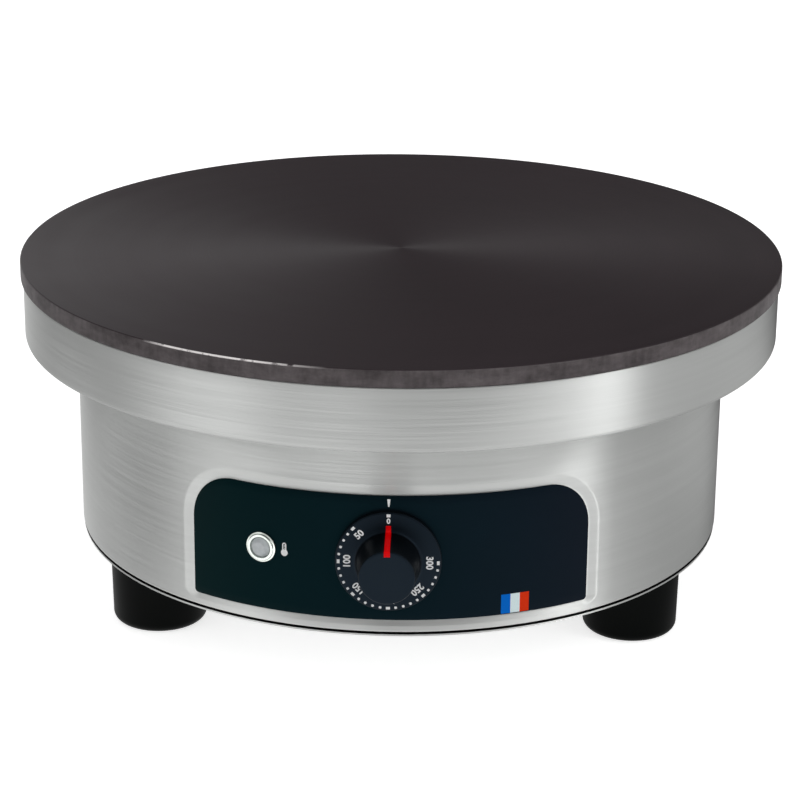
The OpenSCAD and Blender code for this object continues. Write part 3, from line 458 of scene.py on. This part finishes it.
def filleted(path, closed=True):
    """Rounds the corners of a path of (across, along, radius) with arcs."""
    out = []
    count = len(path)
    for i, (a, b, radius) in enumerate(path):
        here = Vector((a, b))
        if radius <= 0 or (not closed and i in (0, count - 1)):
            out.append(here)
            continue
        to_last = (Vector(path[i - 1][:2]) - here).normalized()
        to_next = (Vector(path[(i + 1) % count][:2]) - here).normalized()
        half = to_last.angle(to_next) / 2
        centre = here + (to_last + to_next).normalized() * radius / math.sin(half)
        start = here + to_last * radius / math.tan(half) - centre
        end = here + to_next * radius / math.tan(half) - centre
        turn = start.angle_signed(end)
        steps = max(2, math.ceil(abs(turn) / math.radians(9)))
        for k in range(steps + 1):
            t = -turn * k / steps
            out.append(centre + Vector((start.x * math.cos(t) - start.y * math.sin(t),
                                        start.x * math.sin(t) + start.y * math.cos(t))))
    return out


def lathe(profile, sides, place=Matrix.Identity(4)):
    """Points and faces of a closed section, (radius, height), turned about the local Z axis."""
    points, faces = [], []
    rows = len(profile)
    for k in range(sides):
        a = 2 * math.pi * k / sides
        points += [place @ Vector((p.x * math.cos(a), p.x * math.sin(a), p.y)) for p in profile]
    for k in range(sides):
        m = (k + 1) % sides
        for i in range(rows):
            j = (i + 1) % rows
            if profile[i].x < 1e-9 and profile[j].x < 1e-9:
                continue
            faces.append((k * rows + i, m * rows + i, m * rows + j, k * rows + j))
    return points, faces


def on_wall(angle, z, radius):
    """A matrix whose local Z points out of the drum, with local Y up."""
    out = Vector((math.sin(angle), -math.cos(angle), 0))
    across = Vector((math.cos(angle), math.sin(angle), 0))
    turn = Matrix((across, Vector((0, 0, 1)), out)).transposed().to_4x4()
    return Matrix.Translation(out * radius + Vector((0, 0, z))) @ turn


def wrap(along, z, radius):
    """A point at a distance round the wall from the front, measured at the drum's radius."""
    a = along / shell_r
    return Vector((radius * math.sin(a), -radius * math.cos(a), z))


# ---------------------------------------------------------------- the panel's outline
CORNER_STEPS = 16
TOP_STEPS = 44
SIDE_STEPS = 14


def panel_rows(side, top, low):
    """The outline's upper and lower rows, from left to right, grown by these amounts."""
    half = panel_half + side
    rows = []
    for radius, edge, grow, sign in ((panel_top_r, panel_z1, top, 1),
                                     (panel_low_r, panel_z0, low, -1)):
        rx, rz = radius + side, radius + grow
        z = edge + sign * (grow - rz)
        row = []
        for i in range(CORNER_STEPS + 1):
            a = math.pi / 2 * i / CORNER_STEPS
            row.append((-half + rx - rx * math.cos(a), z + sign * rz * math.sin(a)))
        inner = half - rx
        for i in range(1, TOP_STEPS):
            row.append((-inner + 2 * inner * i / TOP_STEPS, z + sign * rz))
        for i in range(CORNER_STEPS + 1):
            a = math.pi / 2 * (1 - i / CORNER_STEPS)
            row.append((half - rx + rx * math.cos(a), z + sign * rz * math.sin(a)))
        rows.append(row)
    return rows


def panel_ring(side, top, low):
    """The outline as one closed ring, clockwise from the upper left."""
    upper, lower = panel_rows(side, top, low)

    def run(a, b):
        return list(zip(spread(a[0], b[0], SIDE_STEPS), spread(a[1], b[1], SIDE_STEPS)))[1:-1]
    return upper + run(upper[-1], lower[-1]) + lower[::-1] + run(lower[0], upper[0])


def panel_grid(side, top, low, radius):
    """Points and faces that fill the outline. The edge points match those of panel_ring."""
    upper, lower = panel_rows(side, top, low)
    points, faces = [], []
    for (s1, z1), (s0, z0) in zip(upper, lower):
        for k in range(SIDE_STEPS + 1):
            t = k / SIDE_STEPS
            points.append(wrap(s1 + (s0 - s1) * t, z1 + (z0 - z1) * t, radius))
    n = SIDE_STEPS + 1
    for i in range(len(upper) - 1):
        for k in range(SIDE_STEPS):
            a = i * n + k
            faces.append((a, a + 1, a + n + 1, a + n))
    return points, faces


def join_rings(points, faces, rings):
    """Adds rings of points, each joined to the one before it."""
    first = len(points)
    n = len(rings[0])
    for ring in rings:
        points += ring
    for r in range(len(rings) - 1):
        for i in range(n):
            a, b = first + r * n + i, first + r * n + (i + 1) % n
            faces.append((a, b, b + n, a + n))


# ---------------------------------------------------------------- housing
# shares of the border's width: just inside the panel's edge, and where the border has run out
GROUND_SHARE, WALL_SHARE = -0.4, 1.06


def border(share):
    """How far the outline grows at its sides, top and bottom for a share of the border."""
    return share * border_side, share * border_top, share * border_low


def recess_profile():
    """Levels of the pressed border: (share of the border's width, share of its depth)."""
    foot, slope_start, slope_end = 0.03, 0.24, 0.78
    run = (slope_start - foot) / 2 + (slope_end - slope_start) + (1 - slope_end) / 2
    levels = [(GROUND_SHARE, 1.0), (0.0, 1.0)]
    for share in spread(foot, slope_start, 5) + [0.4, 0.6] + spread(slope_end, 1, 5):
        if share <= slope_start:
            gone = (share - foot) ** 2 / (2 * (slope_start - foot))
        elif share <= slope_end:
            gone = (slope_start - foot) / 2 + share - slope_start
        else:
            gone = run - (1 - share) ** 2 / (2 * (1 - slope_end))
        levels.append((share, 1 - gone / run))
    return levels + [(WALL_SHARE, 0.0)]


def make_housing():
    """The drum: a front patch with the pressed recess, and the rest of the wall round it."""
    z_low, z_high = shell_low.z + 2.2 * MM, panel_z1 + 16 * MM
    side_half = panel_half + 17 * MM
    points, faces = panel_grid(*border(GROUND_SHARE), recess_r)
    rings = []
    for share, depth in recess_profile():
        ring = panel_ring(*border(share))
        rings.append([wrap(s, z, shell_r - depth * recess_depth) for s, z in ring])
    upper, lower = panel_rows(*border(WALL_SHARE))
    reach = side_half / upper[-1][0]
    frame_ring = [(s * reach, z_high) for s, z in upper]
    frame_ring += [(side_half, z) for z in spread(z_high, z_low, SIDE_STEPS)[1:-1]]
    frame_ring += [(s * reach, z_low) for s, z in lower[::-1]]
    frame_ring += [(-side_half, z) for z in spread(z_low, z_high, SIDE_STEPS)[1:-1]]
    for t in (1 / 3, 2 / 3, 1):
        rings.append([wrap(s0 + (s1 - s0) * t, z0 + (z1 - z0) * t, shell_r)
                      for (s0, z0), (s1, z1) in zip(ring, frame_ring)])
    join_rings(points, faces, rings)

    def edge(z_from, z_end, inward):
        """Section of the wall's edge: round the fold, in along the flange and back under it."""
        return filleted([(shell_r, z_from, 0), (shell_r, z_end, shell_fillet),
                         (flange_r, z_end, 0), (flange_r, z_end + inward, 0),
                         (shell_r - 4 * MM, z_end + inward, 0)], closed=False)
    # the rest of the drum, whose columns meet the patch's edges
    around, columns_behind = 2 * math.pi * shell_r, 120
    back = [side_half + (around - 2 * side_half) * k / columns_behind
            for k in range(columns_behind + 1)]
    middle = [Vector((shell_r, z)) for z in spread(z_high, z_low, SIDE_STEPS)]
    for profile, columns in (
            (edge(z_high, shell_high.z, -SHEET), [s * reach for s, z in upper] + back[1:]),
            (middle, back),
            (edge(z_low, shell_low.z, SHEET), [s * reach for s, z in lower] + back[1:])):
        first, rows = len(points), len(profile)
        for s in columns:
            points += [wrap(s, p.y, p.x) for p in profile]
        for i in range(len(columns) - 1):
            for j in range(rows - 1):
                a = first + i * rows + j
                faces.append((a, a + rows, a + rows + 1, a + 1))
    add_piece("housing_skin", points, faces, "stainless", replaces=["housing_shell"], sharp=40)


def make_panel():
    """The printed panel, wrapped on the recess, with a fine bevel."""
    bevel = 0.12 * MM
    points, faces = panel_grid(-bevel, -bevel, -bevel, panel_r)
    rings = [[wrap(s, z, r) for s, z in panel_ring(-g, -g, -g)]
             for g, r in ((bevel, panel_r), (bevel * 0.3, panel_r - bevel * 0.3),
                          (0, panel_r - bevel), (0, panel_r - panel_t))]
    join_rings(points, faces, rings)
    add_piece("panel_sheet", points, faces, "panel_film", replaces=["control_panel"])


def make_collar():
    """The collar: a folded sheet with a lip at the top and a flange below."""
    z0, z1 = collar_low.z, collar_high.z
    fold, lip_r = 3.0 * MM, collar_r - 10 * MM
    profile = filleted([(flange_r, z0, 0), (collar_r, z0, fold), (collar_r, z1, 0.8 * MM),
                        (lip_r, z1, 0), (lip_r, z1 - SHEET, 0),
                        (collar_r - SHEET, z1 - SHEET, 0),
                        (collar_r - SHEET, z0 + SHEET, fold - SHEET), (flange_r, z0 + SHEET, 0)])
    points, faces = lathe(profile, 360)
    add_piece("collar_skin", points, faces, "stainless", replaces=["upper_collar"],
              material=collar_shaded_sheet)


def make_plate():
    """The cast plate, with a bevelled rim that hangs over the collar."""
    rim_low = plate_top - 9 * MM
    inner = collar_r - 13.7 * MM
    bevel = 0.7 * MM
    profile = filleted([(0, plate_low.z, 0), (inner, plate_low.z, 1 * MM), (inner, rim_low, 0),
                        (plate_r - bevel, rim_low, 0.2 * MM), (plate_r, rim_low + bevel, 0.2 * MM),
                        (plate_r, plate_top - bevel, 0.15 * MM),
                        (plate_r - bevel, plate_top, 0.15 * MM), (plate_r - 6 * MM, plate_top, 0),
                        (plate_r - 60 * MM, plate_top, 0), (0, plate_top, 0)])
    points, faces = lathe(profile, 540)
    add_piece("plate_skin", points, faces, "cast_plate", replaces=["cooking_plate"], sharp=50)


# ---------------------------------------------------------------- knob, in its own frame
dial_place = on_wall(0, dial_z, dial_back)


def grip_path(lift=0.0):
    """Half section of the grip, from the skirt to the edge of its face, raised by the lift."""
    out = []
    for i in range(13):
        a = math.radians(270 - 90 * i / 12)
        out.append(Vector((ROOT_R + BLEND + (BLEND - lift) * math.cos(a),
                           dial_t + BLEND + (BLEND - lift) * math.sin(a))))
    edge = 0.7 * MM
    for i in range(7):
        a = math.radians(90 * i / 6)
        out.append(Vector((FACE_R - edge + (edge + lift) * math.cos(a),
                           grip_len - edge + (edge + lift) * math.sin(a))))
    return out


def make_knob():
    """The dial: a flat skirt with a rounded edge, and the tapered grip."""
    flat_r = ROOT_R + BLEND + 1 * MM
    skirt = filleted([(0, 0.0, 0), (dial_r - 0.2 * MM, 0.0, 0), (dial_r, 0.3 * MM, 0),
                      (dial_r, dial_t, 1.0 * MM), (flat_r, dial_t, 0)])
    profile = skirt + grip_path()
    profile += [Vector((FACE_R - 2 * MM, grip_len)), Vector((0, grip_len))]
    points, faces = lathe(profile, 144, dial_place)
    add_piece("knob_skin", points, faces, "knob_plastic", body="knob",
              replaces=["control_knob"], sharp=50)


def make_pointer():
    """A moulded-in red line: up the skirt, along the grip and just over the edge of its face."""
    lift, sunk = 0.10 * MM, 0.12 * MM
    start_r, bend_r, last_r = 18.9 * MM, 18.2 * MM, FACE_R - 2.7 * MM
    half_start, half_gain = 1.22, 0.26       # in millimetres

    def path(height):
        line = [Vector((start_r, dial_t + height)), Vector((bend_r, dial_t + height))]
        return line + grip_path(height) + [Vector((last_r, grip_len + height))]
    points, faces = [], []
    outer, inner = path(lift), path(-sunk)
    columns = 8
    for rows in (outer, inner):
        for i, p in enumerate(rows):
            half = (half_start + half_gain * i / (len(rows) - 1)) * MM
            for k in range(columns + 1):
                x = half * (2 * k / columns - 1)
                points.append(dial_place @ Vector((x, math.sqrt(p.x ** 2 - x ** 2), p.y)))
    n, m = len(outer), columns + 1
    back = n * m
    for i in range(n - 1):
        for k in range(columns):
            a = i * m + k
            faces.append((a, a + 1, a + m + 1, a + m))
            faces.append((back + a, back + a + m, back + a + m + 1, back + a + 1))
        for k in (0, columns):
            a = i * m + k
            faces.append((a, a + m, back + a + m, back + a))
    for i in (0, n - 1):
        for k in range(columns):
            a = i * m + k
            faces.append((a, a + 1, back + a + 1, back + a))
    add_piece("pointer_line", points, faces, "pointer_red", body="knob",
              replaces=["knob_pointer"])


# ---------------------------------------------------------------- prints
PRINT_SUNK, PRINT_PROUD = 0.02 * MM, 0.06 * MM


def flat_print(name, outlines, place, ink, body="root"):
    """Flat printed shapes, each an outline of (x, y) in the place's own plane."""
    points, faces = [], []
    for outline in outlines:
        first, n = len(points), len(outline)
        for z in (-PRINT_SUNK, PRINT_PROUD):
            points += [place(x, y, z) for x, y in outline]
        faces.append(tuple(first + n + i for i in range(n)))
        faces.append(tuple(first + i for i in range(n))[::-1])
        for i in range(n):
            j = (i + 1) % n
            faces.append((first + i, first + j, first + n + j, first + n + i))
    add_piece(name, points, faces, None, body=body, material=ink)


def disc(x, y, radius, sides=28):
    out = []
    for i in range(sides):
        a = 2 * math.pi * i / sides
        out.append((x + radius * math.cos(a), y + radius * math.sin(a)))
    return out


def pad(width, sides=24):
    """A small square with round corners."""
    out = []
    for i in range(sides):
        c, d = math.cos(2 * math.pi * i / sides), math.sin(2 * math.pi * i / sides)
        reach = width / 2 / (abs(c) ** 4 + abs(d) ** 4) ** 0.25
        out.append((reach * c, reach * d))
    return out


def bar(width, height, x=0.0, y=0.0):
    return [(x - width / 2, y - height / 2), (x + width / 2, y - height / 2),
            (x + width / 2, y + height / 2), (x - width / 2, y + height / 2)]


def turned(shape, angle, distance):
    """A small outline placed on the dial, counter-clockwise from the top by the angle."""
    c, s = math.cos(angle), math.sin(angle)
    return [(x * c - (y + distance) * s, x * s + (y + distance) * c) for x, y in shape]


def make_dial_marks():
    """Dots every 9 degrees round the skirt from 50 to 300, with a wider mark at each number."""
    ring_r = 24.1 * MM
    shapes = []
    for i in range(26):
        mark = pad(1.25 * MM) if i % 5 else bar(2.0 * MM, 1.35 * MM)
        shapes.append(turned(mark, math.radians(45 + 9 * i), ring_r))
    shapes.append(bar(1.9 * MM, 1.5 * MM, 0, 24.0 * MM))
    face = dial_place @ Matrix.Translation((0, 0, dial_t))
    flat_print("dial_marks", shapes, lambda x, y, z: face @ Vector((x, y, z)), white_ink, "knob")


def make_numeral(text, angle, size, distance):
    """A plain number on the skirt, its foot towards the dial's centre."""
    cap_share, narrow, weight = 0.70, 0.96, 0.05
    data = bpy.data.curves.new("numeral_" + text, "FONT")
    data.body = text
    data.align_x, data.align_y = "CENTER", "CENTER"
    data.size = size / cap_share
    data.offset = size * weight
    data.space_character = 1.02
    data.extrude = 0.04 * MM
    data.resolution_u = 6
    shape = bpy.data.objects.new("numeral_shape", data)
    bpy.context.scene.collection.objects.link(shape)
    bpy.context.view_layer.update()
    view = bpy.context.evaluated_depsgraph_get()
    mesh = bpy.data.meshes.new_from_object(shape.evaluated_get(view))
    bpy.data.objects.remove(shape)
    low = min(v.co.y for v in mesh.vertices)
    high = max(v.co.y for v in mesh.vertices)
    rescale = size / (high - low)
    fit = (Matrix.Diagonal((rescale * narrow, rescale, 1, 1))
           @ Matrix.Translation((0, -(low + high) / 2, 0)))
    face = (dial_place @ Matrix.Translation((0, 0, dial_t + 0.02 * MM))
            @ Matrix.Rotation(angle, 4, "Z"))
    mesh.transform(face @ Matrix.Translation((0, distance, 0)) @ fit)
    dress("numeral_" + text, mesh, None, body="knob", material=white_ink)


def make_numerals():
    for step, text in enumerate(("50", "100", "150", "200", "250", "300"), 1):
        make_numeral(text, math.radians(45 * step), 3.6 * MM, 20.0 * MM)
    make_numeral("0", 0.0, 2.8 * MM, 21.3 * MM)


def on_panel(x, y, z):
    """A point on the panel: distance from the front along its face, height, and lift."""
    return wrap(x * shell_r / panel_r, y, panel_r + z)


def make_index():
    """The dial's index: a short wedge on the panel, pointing down."""
    low, high, half_low, half_high = 0.1041, 0.1080, 0.35 * MM, 0.8 * MM
    index = [(-half_low, low), (half_low, low), (half_high, high), (-half_high, high)]
    flat_print("panel_index", [index], on_panel, white_ink)


def make_thermometer_sign():
    """Pictogram of a thermometer: a filled bulb, a hollow stem and three marks in it."""
    x, bulb_z, top_z = math.radians(-17.3) * panel_r, 0.0760, 0.0812
    outer, inner, bulb = 1.05 * MM, 0.50 * MM, 1.75 * MM
    stem = [((x + outer, bulb_z), (x + inner, bulb_z))]
    for i in range(13):
        a = math.pi * i / 12
        stem.append(((x + outer * math.cos(a), top_z - outer + outer * math.sin(a)),
                     (x + inner * math.cos(a), top_z - outer + inner * math.sin(a))))
    stem.append(((x - outer, bulb_z), (x - inner, bulb_z)))
    shapes = [[last[0], here[0], here[1], last[1]] for last, here in zip(stem, stem[1:])]
    shapes.append(disc(x, bulb_z, bulb))
    shapes += [bar(0.5 * MM, 0.35 * MM, x + 0.1 * MM, bulb_z + k * MM) for k in (2.3, 3.1, 3.9)]
    flat_print("thermometer_sign", shapes, on_panel, white_ink)


def make_stripes():
    """Three upright stripes at the panel's lower right, each in three cells that bend with it."""
    z0, z1, width = 0.0453, 0.0554, 4.85 * MM
    left = math.radians(18.7) * panel_r
    for i, (tone, ink) in enumerate((("blue", blue_ink), ("white", pale_ink), ("red", red_ink))):
        cells = [bar(width / 3, z1 - z0, left + width * i + width * (k + 0.5) / 3, (z0 + z1) / 2)
                 for k in range(3)]
        flat_print("stripe_" + tone, cells, on_panel, ink)


# ---------------------------------------------------------------- lamp and feet
def make_lamp():
    """The pilot lamp: a stepped chrome ring, and a lens with a dimple in its flat face."""
    angle = math.atan2((bezel_low.x + bezel_high.x) / 2, -(bezel_low.y + bezel_high.y) / 2)
    place = on_wall(angle, (bezel_low.z + bezel_high.z) / 2, panel_r + 0.05 * MM)
    rim = (bezel_high.z - bezel_low.z) / 2
    ring_in, ring_h = rim - 2.6 * MM, 1.6 * MM
    bezel = filleted([(ring_in, 0, 0), (rim, 0, 0), (rim, 0.7 * MM, 0.2 * MM),
                      (rim - 0.8 * MM, 0.85 * MM, 0.1 * MM), (rim - 1.0 * MM, ring_h, 0.4 * MM),
                      (ring_in + 0.35 * MM, ring_h, 0.3 * MM), (ring_in, 1.0 * MM, 0)])
    points, faces = lathe(bezel, 72, place)
    add_piece("lamp_ring", points, faces, "lamp_chrome", replaces=["lamp_bezel"])
    wide, face_r, lens_h, low = ring_in - 0.1 * MM, 3.3 * MM, 3.2 * MM, 0.4 * MM
    dimple_r, dimple = 0.8 * MM, 0.4 * MM
    lens = filleted([(0, low, 0), (wide, low, 0), (wide, 0.9 * MM, 0.1 * MM),
                     (face_r, lens_h, 0.2 * MM), (dimple_r, lens_h, 0.1 * MM),
                     (0, lens_h - dimple, 0)])
    points, faces = lathe(lens, 72, place)
    add_piece("lamp_cap", points, faces, "lamp_clear", replaces=["lamp_lens"])


def make_foot(node):
    """A foot: a slightly tapered cylinder with a wide round at the floor and a bolt pocket."""
    low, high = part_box(node)
    x, y = (low.x + high.x) / 2, (low.y + high.y) / 2
    top_r, low_r, height = (high.x - low.x) / 2, 24.4 * MM, high.z - low.z
    bore_r, pocket_r, pocket_h = 4.2 * MM, 8.5 * MM, 20 * MM
    profile = filleted([(bore_r, pocket_h, 0), (pocket_r, pocket_h, 0), (pocket_r, 0, 0.5 * MM),
                        (low_r, 0, 5 * MM), (top_r, height, 0.5 * MM), (bore_r, height, 0)])
    points, faces = lathe(profile, 96, Matrix.Translation((x, y, low.z)))
    add_piece(node + "_skin", points, faces, "foot_plastic", replaces=[node])


make_housing()
make_panel()
make_collar()
make_plate()
make_knob()
make_pointer()
make_dial_marks()
make_numerals()
make_index()
make_thermometer_sign()
make_stripes()
make_lamp()
for name in ("foot_front_left", "foot_front_right", "foot_rear"):
    make_foot(name)

# every CAD node that still shows gets its slot's material, and the base plate its own sheet, with
# painted shade in the gap under the housing
for part in frame["record"]["subparts"]:
    node = bpy.data.objects.get(part["node"])
    if node is not None:
        node.data.materials.clear()
        node.data.materials.append(base_shaded_sheet if part["node"] == "base_plate"
                                   else materials[part["material_slot"]])


# ---------------------------------------------------------------- floor, world and lamps
def soft_boxes(s, x, y, boxes):
    """Adds up soft-edged boxes of light over the azimuth, in degrees from the front towards +X.

    Each is (start, full from, full to, end, level). A level below zero takes light away.
    """
    azimuth = s.product(s.azimuth(x, y), 180 / math.pi)
    out = 0.0
    for start, full_from, full_to, end, level in boxes:
        rise = s.span(azimuth, start, full_from, 0.0, level, smooth=True)
        fall = s.span(azimuth, full_to, end, 1.0, 0.0, smooth=True)
        out = s.total(out, s.product(rise, fall))
    return out


def make_floor(lift, level, boxes, pools):
    """A pale floor that runs out to the horizon.

    To the camera it is lifted to white, and keeps the soft shadow. Metal and gloss see it
    evenly lit, with boxes of light, dark under the body, and with pools of light over that,
    (x, y, full within, zero beyond, level).
    """
    mesh = bpy.data.meshes.new("floor")
    size = 30.0
    mesh.from_pydata([(-size, -size, 0), (size, -size, 0), (size, size, 0), (-size, size, 0)],
                     [], [(0, 1, 2, 3)])
    floor = bpy.data.objects.new("floor", mesh)
    bpy.context.scene.collection.objects.link(floor)
    s = Shader("pale_floor")
    grain = s.noise(40.0, 3.0, 0.5)
    s.set(Base_Color=s.mix(grain, (0.78, 0.78, 0.78), (0.82, 0.82, 0.82)), Roughness=0.9,
          Specular_IOR_Level=0.0)
    path = s.add("ShaderNodeLightPath").outputs
    extra = s.light("ShaderNodeEmission", s.product(path["Is Camera Ray"], lift))
    lit = s.add("ShaderNodeAddShader", {0: s.bsdf.outputs[0], 1: extra}).outputs[0]
    x, y, z = s.split(s.coords())

    def reach(cx, cy):
        return s.length(s.math("SUBTRACT", x, cx), s.math("SUBTRACT", y, cy))
    under = s.span(reach(0, 0), 0.16, 0.42, 0.15, 1.0, smooth=True)
    glow = s.product(s.total(soft_boxes(s, x, y, boxes), level), under)
    for pool_x, pool_y, full, zero, pool in pools:
        spot = s.span(reach(pool_x, pool_y), full, zero, pool, 0.0, smooth=True)
        glow = s.total(glow, spot)
    mirrored = s.math("MAXIMUM", path["Is Glossy Ray"], path["Is Transmission Ray"])
    s.surface(s.choose(mirrored, lit, s.light("ShaderNodeEmission", glow)))
    mesh.materials.append(s.owner)


def make_world(level, boxes, low_boxes):
    """A round studio wall: an even level with soft boxes. The low boxes end halfway up.

    To the camera, and through glass, it is plain white.
    """
    s = Shader(owner=bpy.data.worlds.new("studio"))
    bpy.context.scene.world = s.owner
    x, y, z = s.split(s.add("ShaderNodeTexCoord").outputs["Generated"])
    tall = s.span(z, 0.75, 0.95, 1.0, 0.0, smooth=True)
    low = s.span(z, 0.35, 0.60, 1.0, 0.0, smooth=True)
    glow = s.total(s.product(soft_boxes(s, x, y, boxes), tall), level)
    glow = s.total(s.product(soft_boxes(s, x, y, low_boxes), low), glow)
    room = s.light("ShaderNodeBackground", glow)
    white = s.light("ShaderNodeBackground", 1.0)
    path = s.add("ShaderNodeLightPath").outputs
    plain = s.math("MAXIMUM", path["Is Camera Ray"], path["Is Transmission Ray"])
    s.surface(s.choose(plain, room, white), "World Output")


def make_softbox(name, azimuth, distance, height, size, level, aim=0.1):
    """A square lamp. The azimuth is from the front, towards +X. The level is its radiance."""
    a = math.radians(azimuth)
    place = Vector((distance * math.sin(a), -distance * math.cos(a), height))
    data = bpy.data.lights.new(name, "AREA")
    data.shape, data.size, data.size_y = "RECTANGLE", size, size
    data.energy = level * math.pi * size * size
    lamp = bpy.data.objects.new(name, data)
    bpy.context.scene.collection.objects.link(lamp)
    turn = (Vector((0, 0, aim)) - place).to_track_quat("-Z", "Y").to_matrix().to_4x4()
    lamp.matrix_world = Matrix.Translation(place) @ turn


make_floor(
    lift=0.72, level=0.40,
    boxes=[(-181, -180, 100, 150, 0.22),         # all round but the rear right
           (-75, -50, -14, 6, 0.35),             # front left
           (45, 72, 122, 143, 0.28),             # right
           (136, 147, 180, 181, -0.25)],         # less at the rear right
    pools=[(0.06, -0.37, 0.10, 0.42, 1.45),      # before the panel
           (-0.34, -0.08, 0.12, 0.36, 0.75)])    # left of the body
make_world(
    level=0.28,
    boxes=[(-100, -60, 60, 110, 0.16),           # the whole front
           (-95, -58, -48, -36, 1.05),           # the highlight on the left
           (-34, -24, -14, -4, 0.10),            # a faint one left of the middle
           (22, 59, 73, 76, 1.0),                # the highlight on the right
           (57, 67, 72, 74, 2.3),                # and its bright core
           (72, 85, 132, 147, 0.33),             # the right side
           (-176, -168, -154, -122, 0.8),        # rear left
           (137, 149, 180, 181, -0.18)],         # less at the rear right
    low_boxes=[(-34, -18, 18, 34, -0.28)])       # less low down in front
make_softbox("overhead", azimuth=-90, distance=0.6, height=2.4, size=1.6, level=0.9)
make_softbox("key", azimuth=65, distance=2.2, height=1.7, size=0.5, level=4.5)

scene = bpy.context.scene
scene.view_settings.view_transform = "Standard"

bpy.context.view_layer.update()
